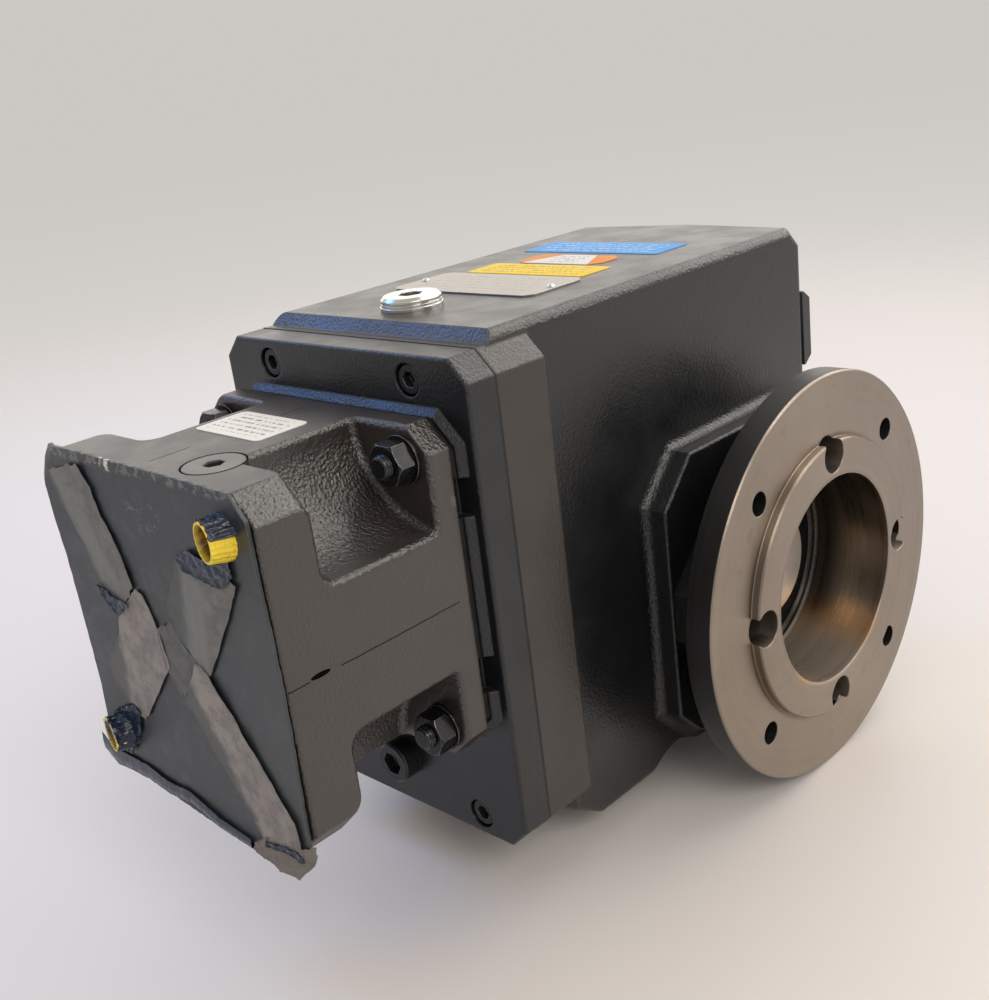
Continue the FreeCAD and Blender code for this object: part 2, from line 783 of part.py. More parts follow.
def adapter_nuts():
    nuts = []
    front = nut_seat - nut_height
    corner = nut_flats / math.sqrt(3)
    slope = nut_height * 1.2
    for x, z in four_corners(stud_offset):
        nut = hexagon_y(front, nut_seat, nut_flats, x, z)
        for tip, way in ((front, 1), (nut_seat, -1)):
            turn = Vector(0, way, 0)
            cone = Part.makeCone(corner - nut_chamfer, corner + slope, slope, Vector(x, tip, z), turn)
            nut = nut.common(cone)
        nuts.append(nut.cut(cylinder_y(front - 1, nut_seat + 1, stud_thread / 2 + thread_clearance, x, z)))
    return Part.makeCompound(nuts)


def adapter_washers():
    return Part.makeCompound([tube_y(nut_seat, nut_face, washer_diameter / 2, washer_bore / 2, x, z)
                              for x, z in four_corners(stud_offset)])


def access_plug():
    disc = cylinder_z(adapter_top - access_plug_thickness, adapter_top, access_plug_radius,
                      access_x, access_y)
    disc = disc.makeChamfer(0.4, edges_where(disc, lambda b: b.ZMin > adapter_top - 0.01))
    socket = hexagon_z(adapter_top - access_plug_thickness * 0.7, adapter_top + 1, access_plug_socket,
                       access_x, access_y)
    return disc.cut(socket)


# Protective sheet and thread plugs

def sheet_outline():
    half = adapter_half
    corners = [
        (sheet_corner - half, half), (half - adapter_cut, half), (half, half - adapter_cut),
        (half, sheet_corner - half), (half + sheet_tip, sheet_corner / 2 - half),
        (half - sheet_corner, -half - sheet_bottom_overhang),
        (-half * 2 / 3, -half - sheet_bottom_rise), (-half - sheet_side_overhang, -half),
        (-half - sheet_side_overhang / 2, half / 3), (-half - sheet_side_flare, half - sheet_corner),
    ]
    return [(-centre_plane + u, input_height + v) for u, v in corners]


def protective_sheet():
    holes = [cylinder_y(sheet_front - 1, sheet_back + 1, sheet_hole_radius, x, z) for x, z in plugged_holes()]
    return cut_all(prism_y(sheet_outline(), sheet_front, sheet_back), holes)


def plugged_holes():
    return [(-centre_plane + side * motor_bolt_offset, input_height + side * motor_bolt_offset)
            for side in (-1, 1)]


def thread_plugs():
    plugs = []
    tip = sheet_front - thread_plug_height
    for x, z in plugged_holes():
        collar = Part.makeCone(thread_plug_mouth / 2, thread_plug_collar / 2, adapter_front - tip,
                               Vector(x, tip, z), Vector(0, 1, 0))
        shank = cylinder_y(adapter_front, adapter_front + thread_plug_shank_length,
                           thread_plug_shank / 2, x, z)
        mouth = cylinder_y(tip - 1, adapter_front - 1, thread_plug_bore / 2, x, z)
        core = cylinder_y(adapter_front - 2, adapter_front + thread_plug_shank_length - thread_plug_floor,
                          thread_plug_shank_bore / 2, x, z)
        plugs.append(cut_all(collar.fuse(shank), [mouth, core]))
    return Part.makeCompound(plugs)


# Top of the housing

def nameplate_middle():
    return (nameplate_front + nameplate_rear) / 2


def rivet_places():
    centre = -centre_plane + nameplate_shift
    return [centre - rivet_half_spacing, centre + rivet_half_spacing]


def oil_fill_plug():
    x = -centre_plane - fill_plug_place[0]
    y = fill_plug_place[1]
    seat = box_top + fill_ring_thickness
    top = seat + fill_plug_head_height
    rim = fill_plug_head / 2
    groove = fill_plug_groove
    waist = seat + fill_plug_head_height * 0.35
    outline = [(0, 0), (rim, 0), (rim, waist - seat - groove / 2), (rim - groove, waist - seat),
               (rim, waist - seat + groove / 2), (rim, top - seat - fill_plug_edge),
               (rim - fill_plug_edge, top - seat), (0, top - seat)]
    head = face_of([Vector(r, 0, h) for r, h in outline]).revolve(Vector(0, 0, 0), Vector(0, 0, 1), 360)
    head.translate(Vector(x, y, seat))
    shank = cylinder_z(box_top - wall, seat, fill_plug_thread / 2, x, y)
    socket = hexagon_z(seat - 4, top + 1, fill_plug_socket, x, y)
    return head.fuse(shank).cut(socket)


def fill_plug_ring():
    x = -centre_plane - fill_plug_place[0]
    y = fill_plug_place[1]
    ring = cylinder_z(box_top, box_top + fill_ring_thickness, fill_ring_radius, x, y)
    return ring.cut(cylinder_z(box_top - 1, box_top + 5, fill_plug_thread / 2 + 0.2, x, y))


def nameplate():
    centre = -centre_plane + nameplate_shift
    outline = octagon(centre - nameplate_half_length, centre + nameplate_half_length,
                      nameplate_front, nameplate_rear, nameplate_corner)
    plate = prism_z(outline, box_top, box_top + nameplate_thickness)
    hole = rivet_shank_radius + thread_clearance
    holes = [cylinder_z(box_top - 1, box_top + 2, hole, x, nameplate_middle()) for x in rivet_places()]
    return cut_all(plate, holes)


def nameplate_rivets():
    rivets = []
    top = box_top + nameplate_thickness
    for x in rivet_places():
        dome_radius = (rivet_radius ** 2 + rivet_height ** 2) / (2 * rivet_height)
        ball = Part.makeSphere(dome_radius, Vector(x, nameplate_middle(), top + rivet_height - dome_radius))
        cap = cylinder_z(top, top + rivet_height + 1, rivet_radius, x, nameplate_middle())
        shank = cylinder_z(box_top - rivet_shank_depth, top, rivet_shank_radius, x, nameplate_middle())
        rivets.append(ball.common(cap).fuse(shank))
    return Part.makeCompound(rivets)


# Spur gears with involute flanks

def involute(angle):
    return math.tan(angle) - angle


def flank_half_angle(radius, pitch, teeth, play):
    base = pitch * math.cos(math.radians(pressure_angle))
    at_pitch = math.pi / (2 * teeth) - play / (2 * pitch)
    slope = math.acos(min(1.0, base / radius))
    return at_pitch + involute(math.radians(pressure_angle)) - involute(slope)


def spur_outline(teeth, play, turn):
    pitch = tooth_module * teeth / 2
    tip = pitch + tooth_module * 0.95
    root = pitch - tooth_module * 1.25
    base = pitch * math.cos(math.radians(pressure_angle))
    start = max(base + 0.02, root + 0.25)
    levels = [start + (tip - start) * k / 3 for k in range(4)]
    points = []
    for k in range(teeth):
        middle = turn + 2 * math.pi * k / teeth
        side = [(radius, flank_half_angle(radius, pitch, teeth, play)) for radius in levels]
        rise = [(root, side[0][1] + 0.12 / root)] + side
        for radius, half in rise:
            points.append((radius * math.cos(middle - half), radius * math.sin(middle - half)))
        for radius, half in reversed(rise):
            points.append((radius * math.cos(middle + half), radius * math.sin(middle + half)))
    return points


def shift(outline, dy, dz):
    return [(y + dy, z + dz) for y, z in outline]


def line_of_centres():
    return math.atan2(input_height, intermediate_y)


def output_gear():
    turn = line_of_centres()
    body = prism_x(spur_outline(output_teeth, backlash, turn), gear_left, gear_right)
    web = gear_face / 4
    hub = shaft_journal / 2 + gear_bore_wall
    rim = output_radius - tooth_module * 1.25 - 5
    key_width, key_height, key_length = gear_key
    keyway = box(gear_left - 1, gear_right + 1, -key_width / 2, key_width / 2,
                 0, shaft_journal / 2 + key_height - gear_key_seat + key_top_gap)
    tools = [
        cylinder_x(gear_left - 1, gear_right + 1, shaft_journal / 2),
        tube_x(gear_left - 1, gear_left + web, rim, hub),
        tube_x(gear_right - web, gear_right + 1, rim, hub),
        keyway,
    ]
    return cut_all(body, tools)


def output_gear_key():
    width, height, length = gear_key
    bottom = shaft_journal / 2 - gear_key_seat
    return box(gear_centre_plane - length / 2, gear_centre_plane + length / 2,
               -width / 2, width / 2, bottom, bottom + height)


def hollow_output_shaft():
    radius = shaft_journal / 2
    collar_left = gear_right
    collar_right = bearing_right - output_bearing[2]
    barrel = cylinder_x(shaft_left, shaft_right, radius)
    barrel = barrel.makeChamfer(1.0, edges_where(barrel, lambda b: b.XLength < 0.01))
    body = barrel.fuse(cylinder_x(collar_left, collar_right, collar_diameter / 2))
    bore = shaft_bore / 2
    width, height, length = gear_key
    half = length / 2
    left_bearing = -2 * centre_plane - bearing_right + output_bearing[2]
    tools = [
        cylinder_x(shaft_left - 1, shaft_right + 1, bore),
        box(shaft_left - 1, shaft_right + 1, -keyway_width / 2, keyway_width / 2, 0, bore + keyway_depth),
        box(gear_centre_plane - half, gear_centre_plane + half, -width / 2, width / 2,
            radius - gear_key_seat, radius + 1),
        tube_x(gear_left - 1.75, gear_left, radius + 1, radius - 1.25),
        tube_x(left_bearing, left_bearing + 1.75, radius + 1, radius - 1.25),
        tube_x(left_bearing + shaft_waist_run_out, gear_left - shaft_waist_run_out,
               radius + 1, shaft_waist / 2),
    ]
    return cut_all(body, tools)


def split_ring_x(x0, x1, outer, inner):
    ring = tube_x(x0, x1, outer, inner)
    return ring.cut(box(x0 - 1, x1 + 1, -3.0, 3.0, 0, outer + 1))


def output_shaft_circlips():
    radius = shaft_journal / 2
    left_bearing = -2 * centre_plane - bearing_right + output_bearing[2]
    rings = [split_ring_x(x, x + 1.75, radius + 3.2, radius - 1.25) for x in (gear_left - 1.75, left_bearing)]
    return Part.makeCompound(rings)


def output_bearing_circlips():
    outer = output_bearing[1] / 2 + circlip_depth - 0.1
    rings = []
    for x in (bearing_right, -2 * centre_plane - bearing_right - circlip_thickness):
        rings.append(split_ring_x(x, x + circlip_thickness, outer, outer - circlip_band))
    return Part.makeCompound(rings)


# Bearings as an outer ring with two shields, and an inner ring

def outer_ring(size):
    bore, outside, width = size
    inner_land = bore / 2 + (outside - bore) * 0.14 + running_gap
    race = outside / 2 - (outside - bore) * 0.13
    ring = [(inner_land, 0), (outside / 2, 0), (outside / 2, width), (inner_land, width),
            (inner_land, width - shield_thickness), (race, width - shield_thickness),
            (race, shield_thickness), (inner_land, shield_thickness)]
    return face_of([Vector(r, 0, h) for r, h in ring]).revolve(Vector(0, 0, 0), Vector(0, 0, 1), 360)


def inner_ring(size):
    bore, outside, width = size
    land = bore / 2 + (outside - bore) * 0.14
    ring = [(bore / 2, 0), (land, 0), (land, width), (bore / 2, width)]
    return face_of([Vector(r, 0, h) for r, h in ring]).revolve(Vector(0, 0, 0), Vector(0, 0, 1), 360)


def along_x(solid, x, y=0.0, z=0.0):
    placed = solid.copy()
    placed.Placement = FreeCAD.Placement(Vector(x, y, z), Rotation(Vector(0, 0, 1), Vector(1, 0, 0)))
    return placed


def along_y(solid, y):
    placed = solid.copy()
    placed.Placement = FreeCAD.Placement(Vector(-centre_plane, y, input_height),
                                         Rotation(Vector(0, 0, 1), Vector(0, 1, 0)))
    return placed


def output_bearing_places():
    return [bearing_right - output_bearing[2], -2 * centre_plane - bearing_right]


def intermediate_bearing_places():
    return [intermediate_right_seat, intermediate_left_seat - intermediate_bearing[2]]


def pinion_bearing_places():
    return [pinion_rear_bearing - pinion_bearing[2], pinion_front_bearing - pinion_bearing[2]]


def output_bearing_outers():
    return Part.makeCompound([along_x(outer_ring(output_bearing), x) for x in output_bearing_places()])


def output_bearing_inners():
    return Part.makeCompound([along_x(inner_ring(output_bearing), x) for x in output_bearing_places()])


def intermediate_bearing_outers():
    return Part.makeCompound([along_x(outer_ring(intermediate_bearing), x, intermediate_y, input_height)
                              for x in intermediate_bearing_places()])


def intermediate_bearing_inners():
    return Part.makeCompound([along_x(inner_ring(intermediate_bearing), x, intermediate_y, input_height)
                              for x in intermediate_bearing_places()])


def pinion_bearing_outers():
    return Part.makeCompound([along_y(outer_ring(pinion_bearing), y) for y in pinion_bearing_places()])


def pinion_bearing_inners():
    return Part.makeCompound([along_y(inner_ring(pinion_bearing), y) for y in pinion_bearing_places()])


# Shaft seals

def seal_profile(inner, outer, width):
    return [(outer, 0), (outer, width), (inner + 3.0, width), (inner + 1.6, width - 1.0),
            (inner + 0.05, width * 0.45), (inner + 0.05, width * 0.35), (inner + 1.8, 0)]


def shaft_seal(inner, outer, width):
    return face_of([Vector(r, 0, h) for r, h in seal_profile(inner, outer, width)]).revolve(
        Vector(0, 0, 0), Vector(0, 0, 1), 360)


def output_seals():
    ring = shaft_seal(shaft_journal / 2, output_bearing[1] / 2, output_seal_width)
    right = along_x(ring, pad_face - output_seal_recess - output_seal_width)
    left = ring.copy()
    left.Placement = FreeCAD.Placement(
        Vector(left_pad_face + output_seal_recess + output_seal_width, 0, 0),
        Rotation(Vector(0, 0, 1), Vector(-1, 0, 0)))
    return Part.makeCompound([right, left])


def input_seal():
    ring = shaft_seal(pinion_bearing[0] / 2, seal_outer / 2, seal_width)
    placed = ring.copy()
    placed.Placement = FreeCAD.Placement(Vector(-centre_plane, platform_face + 1 + seal_width, input_height),
                                         Rotation(Vector(0, 0, 1), Vector(0, -1, 0)))
    return placed


# Straight bevel pair, every flank running to the common apex

apex = Vector(-centre_plane, intermediate_y, input_height)


def bevel_numbers(teeth, mate):
    pitch = tooth_module * teeth / 2
    other = tooth_module * mate / 2
    cone = math.hypot(pitch, other)
    angle = math.atan2(pitch, other)
    return pitch, cone, angle


def bevel_gap_points(teeth, mate, play):
    pitch, cone, angle = bevel_numbers(teeth, mate)
    virtual_teeth = teeth / math.cos(angle)
    virtual_pitch = pitch / math.cos(angle)
    back_apex = cone / math.cos(angle)
    root = virtual_pitch - tooth_module * 1.2
    tip = virtual_pitch + tooth_module * 1.3
    base = virtual_pitch * math.cos(math.radians(pressure_angle))
    start = max(root + 0.2, base + 0.02)
    levels = [start + (tip - start) * k / 3 for k in range(4)]
    side = []
    for radius in levels:
        tooth_half = flank_half_angle(radius, virtual_pitch, virtual_teeth, play)
        side.append((radius, math.pi / virtual_teeth - tooth_half))
    profile = [(root, side[0][1] - 0.1 / root)] + side
    points = []
    for sign in (-1, 1):
        row = profile if sign == -1 else list(reversed(profile))
        for radius, half in row:
            around = sign * half * radius / (radius * math.cos(angle))
            ring = radius * math.cos(angle)
            along = back_apex - radius * math.sin(angle)
            points.append(Vector(ring * math.cos(around), ring * math.sin(around), along))
    ray = Vector(math.sin(angle), 0, math.cos(angle))
    return [point * (1.0 / point.dot(ray)) for point in points], cone


def gap_wedge(teeth, mate, play, near, far):
    shape, cone = bevel_gap_points(teeth, mate, play)
    inner = [point * near for point in shape]
    outer = [point * far for point in shape]
    count = len(shape)
    faces = [face_of(inner), face_of(outer)]
    for k in range(count):
        n = (k + 1) % count
        faces.append(face_of([inner[k], inner[n], outer[n], outer[k]]))
    return Part.makeSolid(Part.makeShell(faces))


def bevel_blank(teeth, mate, back, bore, hub_radius, hub_end):
    pitch, cone, angle = bevel_numbers(teeth, mate)
    across = Vector(math.cos(angle), 0, -math.sin(angle))
    ray = Vector(math.sin(angle), 0, math.cos(angle))
    face_angle = math.atan2(tooth_module * 0.95, cone)
    tip_out = ray * cone + across * (tooth_module * 0.95)
    tip_in = tip_out * ((cone - bevel_face) / cone)
    root_out = ray * cone - across * (tooth_module * 1.6)
    root_in = ray * (cone - bevel_face) - across * (tooth_module * 1.6)
    edge = [(tip_in.x, tip_in.z), (tip_out.x, tip_out.z), (root_out.x, root_out.z)]
    tail = [(root_out.x, back), (hub_radius, back), (hub_radius, hub_end), (bore, hub_end)]
    nose = [(bore, root_in.z), (root_in.x, root_in.z)]
    outline = edge + tail + nose
    return face_of([Vector(r, 0, h) for r, h in outline]).revolve(Vector(0, 0, 0), Vector(0, 0, 1), 360)


def bevel_teeth_cut(blank, teeth, mate, play, turn):
    pitch, cone, angle = bevel_numbers(teeth, mate)
    wedge = gap_wedge(teeth, mate, play, (cone - bevel_face) * 0.8, cone * 1.25)
    gaps = []
    for k in range(teeth):
        copy = wedge.copy()
        copy.rotate(Vector(0, 0, 0), Vector(0, 0, 1), math.degrees(turn) + 360.0 * k / teeth)
        gaps.append(copy)
    return cut_all(blank, gaps)


def bevel_wheel():
    back = pinion_radius + wheel_back
    hub_end = -centre_plane - wheel_hub_end
    blank = bevel_blank(wheel_teeth, pinion_teeth, back, wheel_seat / 2, wheel_hub_radius, hub_end)
    toothed = bevel_teeth_cut(blank, wheel_teeth, pinion_teeth, bevel_backlash, 0.0)
    width, height, length = wheel_key
    slot_top = wheel_seat / 2 + height - wheel_key_seat + key_top_gap
    slot = box(-width / 2, width / 2, 0, slot_top, pinion_radius - wheel_hub_flange, hub_end + 1)
    toothed = toothed.cut(slot)
    toothed.Placement = FreeCAD.Placement(apex, wheel_turn())
    return toothed


def wheel_turn():
    return Rotation(Vector(0, -1, 0), Vector(0, 0, 1), Vector(-1, 0, 0), "XYZ")


def wheel_key_piece():
    width, height, length = wheel_key
    bottom = wheel_seat / 2 - wheel_key_seat
    key_left = wheel_hub_end + wheel_key_setback
    return box(key_left, key_left + length, intermediate_y - width / 2, intermediate_y + width / 2,
               input_height + bottom, input_height + bottom + height)


def intermediate_shaft():
    y = intermediate_y
    z = input_height
    seat = intermediate_bearing[0] / 2
    width, height, length = wheel_key
    right_end = intermediate_right_seat + intermediate_bearing[2]
    left_end = intermediate_left_seat - intermediate_bearing[2]
    drive_left = gear_centre_plane - drive_face / 2
    drive_right = gear_centre_plane + drive_face / 2
    face_share = bevel_face / math.hypot(pinion_radius, wheel_radius)
    wheel_nose = -centre_plane - pinion_radius * (1 - face_share) + 4
    turn = line_of_centres() + math.pi
    mesh_turn = turn + math.pi / drive_teeth
    toothed = prism_x(shift(spur_outline(drive_teeth, backlash, mesh_turn), y, z), drive_left, drive_right)
    core = [
        cylinder_x(left_end, right_end, seat, y, z),
        cylinder_x(intermediate_left_seat, drive_right + 1, wheel_seat / 2, y, z),
        cylinder_x(wheel_nose, drive_left + 1, intermediate_body / 2, y, z),
        cylinder_x(drive_right - 1, intermediate_right_seat, intermediate_body / 2, y, z),
        toothed,
    ]
    bottom = z + wheel_seat / 2 - wheel_key_seat
    key_left = wheel_hub_end + wheel_key_setback
    slot = box(key_left, key_left + length, y - width / 2, y + width / 2, bottom, bottom + height)
    return fuse_all(core).cut(slot)


def intermediate_spacer():
    return tube_x(intermediate_left_seat, wheel_hub_end, wheel_seat / 2 + spacer_wall, wheel_seat / 2,
                  intermediate_y, input_height)


def intermediate_circlip():
    outer = intermediate_bearing[1] / 2 + circlip_depth - 0.1
    right = intermediate_left_seat - intermediate_bearing[2]
    left = right - cap_gap + 0.1
    ring = tube_x(left, right, outer, outer - 4.0, intermediate_y, input_height)
    return ring.cut(box(left - 1, right + 1, intermediate_y - 3, intermediate_y + 3,
                        input_height, input_height + outer + 1))


def intermediate_cap():
    right = intermediate_left_seat - intermediate_bearing[2] - cap_gap - 0.5
    left = right - cap_thickness
    radius = intermediate_bearing[1] / 2
    cap = cylinder_x(left, right, radius, intermediate_y, input_height)
    return cap.cut(cylinder_x(left - 1, left + cap_thickness / 2, radius - 3.0, intermediate_y, input_height))


# Input side

def pinion_shaft():
    pitch, cone, angle = bevel_numbers(pinion_teeth, wheel_teeth)
    back = wheel_radius + 1.5
    blank = bevel_blank(pinion_teeth, wheel_teeth, back, 2.0, pinion_radius * 0.75, back + 1.0)
    toothed = bevel_teeth_cut(blank, pinion_teeth, wheel_teeth, bevel_backlash, math.pi / pinion_teeth)
    toothed.Placement = FreeCAD.Placement(apex, pinion_turn())
    seat = pinion_bearing[0] / 2
    core_front = intermediate_y - back
    nose = intermediate_y - (cone - bevel_face) * math.cos(angle) - 0.5
    pieces = [
        toothed,
        cylinder_y(core_front - 0.5, nose - 1.0, pinion_core_radius),
        cylinder_y(pinion_rear_bearing, core_front, pinion_collar / 2),
        cylinder_y(platform_face - 1, pinion_rear_bearing + 1, seat),
        cylinder_y(stub_end, platform_face, stub_diameter / 2),
    ]
    body = fuse_all(pieces)
    ring = pinion_front_bearing - pinion_bearing[2]
    return body.cut(tube_y(ring - 1.2, ring, seat + 1, seat - 0.8))


def pinion_turn():
    return Rotation(Vector(-1, 0, 0), Vector(0, 0, -1), Vector(0, -1, 0), "XYZ")


def pinion_shaft_circlip():
    seat = pinion_bearing[0] / 2
    ring = pinion_front_bearing - pinion_bearing[2]
    clip = tube_y(ring - 1.2, ring, seat + 2.6, seat - 0.8)
    return clip.cut(box(-centre_plane - 2, -centre_plane + 2, ring - 2, ring + 1,
                        input_height, input_height + seat + 5))


def pinion_bearing_circlip():
    outer = pinion_bearing[1] / 2 + circlip_depth - 0.1
    clip = tube_y(pinion_rear_bearing, pinion_rear_bearing + cap_gap - 0.1, outer, outer - 4.0)
    return clip.cut(box(-centre_plane - 3, -centre_plane + 3, pinion_rear_bearing - 1,
                        pinion_rear_bearing + cap_gap + 1, input_height, input_height + outer + 1))


def pinion_inner_spacer():
    seat = pinion_bearing[0] / 2
    return tube_y(pinion_front_bearing, pinion_rear_bearing - pinion_bearing[2],
                  seat + pinion_sleeve_wall, seat)


def pinion_outer_spacer():
    seat = pinion_bearing[1] / 2
    return tube_y(pinion_front_bearing, pinion_rear_bearing - pinion_bearing[2],
                  seat, seat - pinion_sleeve_wall)


def clamp_hub():
    barrel = cylinder_y(hub_front, hub_rear, hub_outer / 2)
    ring = cylinder_y(hub_front, clamp_ring_rear, clamp_ring_radius)
    tools = [
        cylinder_y(hub_front - 1, hub_bore_end, hub_bore / 2),
        cylinder_y(hub_bore_end - 1, hub_rear + 1, stub_diameter / 2),
        box(-centre_plane, -centre_plane + clamp_ring_radius + 1,
            hub_front - 1, hub_bore_end + clamp_slit_run,
            input_height - clamp_slit / 2, input_height + clamp_slit / 2),
        cylinder_z(clamp_seat - clamp_screw_length - 1, clamp_seat + 1,
                   clamp_screw_thread / 2 + thread_clearance, access_x, access_y),
        cylinder_z(clamp_seat, input_height + clamp_ring_radius + 1, clamp_screw_head / 2 + running_gap,
                   access_x, access_y),
    ]
    return cut_all(barrel.fuse(ring), tools)


def clamp_screw():
    head = cylinder_z(clamp_seat, clamp_seat + clamp_screw_thread, clamp_screw_head / 2, access_x, access_y)
    shank = cylinder_z(clamp_seat - clamp_screw_length, clamp_seat, clamp_screw_thread / 2,
                       access_x, access_y)
    socket = hexagon_z(clamp_seat + clamp_screw_thread / 2, clamp_seat + clamp_screw_thread + 1,
                       clamp_screw_socket, access_x, access_y)
    return head.fuse(shank).cut(socket)


pieces = {
    "housing": housing,
    "cover_gasket": cover_gasket,
    "front_cover": front_cover,
    "cover_screws": cover_screws,
    "drain_plug": drain_plug,
    "motor_adapter": motor_adapter,
    "adapter_shim": adapter_shim,
    "adapter_studs": adapter_studs,
    "adapter_nuts": adapter_nuts,
    "adapter_washers": adapter_washers,
    "access_plug": access_plug,
    "protective_sheet": protective_sheet,
    "thread_plugs": thread_plugs,
    "oil_fill_plug": oil_fill_plug,
    "fill_plug_ring": fill_plug_ring,
    "nameplate": nameplate,
    "nameplate_rivets": nameplate_rivets,
    "output_flange": output_flange,
    "flange_screws": flange_screws,
    "output_seals": output_seals,
    "output_bearing_outers": output_bearing_outers,
    "output_bearing_circlips": output_bearing_circlips,
    "intermediate_bearing_outers": intermediate_bearing_outers,
    "intermediate_circlip": intermediate_circlip,
    "intermediate_cap": intermediate_cap,
    "pinion_bearing_outers": pinion_bearing_outers,
    "pinion_outer_spacer": pinion_outer_spacer,
    "pinion_bearing_circlip": pinion_bearing_circlip,
    "input_seal": input_seal,
    "hollow_output_shaft": hollow_output_shaft,
    "output_gear": output_gear,
    "output_gear_key": output_gear_key,
    "output_shaft_circlips": output_shaft_circlips,
    "output_bearing_inners": output_bearing_inners,
    "intermediate_shaft": intermediate_shaft,
    "bevel_wheel": bevel_wheel,
    "wheel_key": wheel_key_piece,
    "intermediate_spacer": intermediate_spacer,
    "intermediate_bearing_inners": intermediate_bearing_inners,
    "pinion_shaft": pinion_shaft,
    "pinion_bearing_inners": pinion_bearing_inners,
    "pinion_inner_spacer": pinion_inner_spacer,
    "pinion_shaft_circlip": pinion_shaft_circlip,
    "clamp_hub": clamp_hub,
    "clamp_screw": clamp_screw,
}

os.makedirs("parts", exist_ok=True)
for name, make in pieces.items():
    solid = make()
    print(name, "solids", len(solid.Solids), "volume", round(solid.Volume, 1), "valid", solid.isValid())
    solid.exportStep("parts/" + name + ".step")
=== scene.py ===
import json
import math

import bpy
from mathutils import Matrix, Vector, noise


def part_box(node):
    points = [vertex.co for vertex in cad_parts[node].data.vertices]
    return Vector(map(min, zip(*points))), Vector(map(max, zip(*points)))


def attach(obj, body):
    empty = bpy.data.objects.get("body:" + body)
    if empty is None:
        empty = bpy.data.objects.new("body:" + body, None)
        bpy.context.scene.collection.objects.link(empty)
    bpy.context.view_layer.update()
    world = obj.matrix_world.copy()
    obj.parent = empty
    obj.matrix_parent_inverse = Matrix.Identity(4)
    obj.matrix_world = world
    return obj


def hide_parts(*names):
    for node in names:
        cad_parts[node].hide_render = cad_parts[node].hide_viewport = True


# A right-angle speed reducer. Lengths are in millimetres of the row frame unless a line says metres.

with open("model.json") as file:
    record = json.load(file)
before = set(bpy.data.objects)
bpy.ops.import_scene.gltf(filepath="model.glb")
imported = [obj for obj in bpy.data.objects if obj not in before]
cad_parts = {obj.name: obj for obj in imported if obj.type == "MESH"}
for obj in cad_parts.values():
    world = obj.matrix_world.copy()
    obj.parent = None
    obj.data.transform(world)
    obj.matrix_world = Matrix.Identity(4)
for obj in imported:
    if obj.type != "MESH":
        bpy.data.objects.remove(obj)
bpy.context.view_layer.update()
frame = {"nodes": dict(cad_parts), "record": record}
MM = 0.001


def box_of(node):
    low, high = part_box(node)
    return [c / MM for c in low], [c / MM for c in high]


adapter_low, adapter_high = box_of("motor_adapter")
sheet_low, sheet_high = box_of("protective_sheet")
plug_low, plug_high = box_of("thread_plugs")
stud_low, stud_high = box_of("adapter_studs")
AXIS_X = (adapter_low[0] + adapter_high[0]) / 2
INPUT_Z = (adapter_low[2] + adapter_high[2]) / 2
HALF = (adapter_high[0] - adapter_low[0]) / 2
SHEET_FACE = sheet_low[1]
BOX_TOP = box_of("nameplate")[0][2]
PLUG_INSET = 13.3
PLUG_OFFSET = HALF - PLUG_INSET

# Colours, as linear red, green and blue

CASE_BLACK = (0.0042, 0.0045, 0.0050)
COVER_BLACK = (0.0042, 0.0050, 0.0062)
# Adapter paint: the casting black made lighter and brown, a painted reflection of the warm floor
ADAPTER_BLACK_AND_REFLECTION = (0.0160, 0.0118, 0.0092)
PLUG_BROWN = (0.0145, 0.0108, 0.0085)
JOINT_FLOOR_REFLECTION = (0.0230, 0.0175, 0.0138)
EDGE_HIGHLIGHT = (0.100, 0.094, 0.088)
PALE_SPECK = (0.36, 0.35, 0.32)
SCRATCH_GREY = (0.20, 0.19, 0.18)
FLANGE_DARK, FLANGE_LIGHT = (0.25, 0.210, 0.170), (0.335, 0.287, 0.240)
BORE_BROWN, BORE_FOOT_HIGHLIGHT = (0.235, 0.195, 0.158), (0.37, 0.30, 0.24)
RUST = (0.50, 0.29, 0.14)
SHEET_DARK, SHEET_LIGHT = (0.012, 0.017, 0.022), (0.023, 0.028, 0.031)
SCUFF_GREY = (0.30, 0.30, 0.29)
# Black tape: a dark navy, its lighter blue tone partly a painted blue sheen
TAPE_NAVY_DARK, TAPE_NAVY_AND_SHEEN = (0.003, 0.006, 0.013), (0.008, 0.020, 0.050)
YELLOW_DARK, YELLOW_LIGHT = (0.72, 0.47, 0.015), (0.93, 0.72, 0.05)

# Camera, its place in millimetres and its turn fitted to the photograph

CAMERA_PLACE = (223.91, -388.49, 202.98)
CAMERA_RIGHT = (0.7187, 0.6848, -0.1204)
CAMERA_UP = (-0.1524, 0.3241, 0.9337)
CAMERA_LENS = 44.14
SENSOR_WIDTH = 36.0
CLIP_METRES = (0.01, 50.0)


def make_camera():
    data = bpy.data.cameras.new("camera")
    data.lens = CAMERA_LENS
    data.sensor_width = SENSOR_WIDTH
    data.clip_start, data.clip_end = CLIP_METRES
    camera = bpy.data.objects.new("camera", data)
    bpy.context.scene.collection.objects.link(camera)
    right = Vector(CAMERA_RIGHT).normalized()
    up = Vector(CAMERA_UP)
    up = (up - right * up.dot(right)).normalized()
    back = right.cross(up)
    turn = Matrix((right, up, back)).transposed().to_4x4()
    camera.matrix_world = Matrix.Translation(Vector(CAMERA_PLACE) * MM) @ turn
    bpy.context.scene.camera = camera


make_camera()


# Material graphs

EDGE_STARTS, EDGE_FULL = 0.995, 0.86


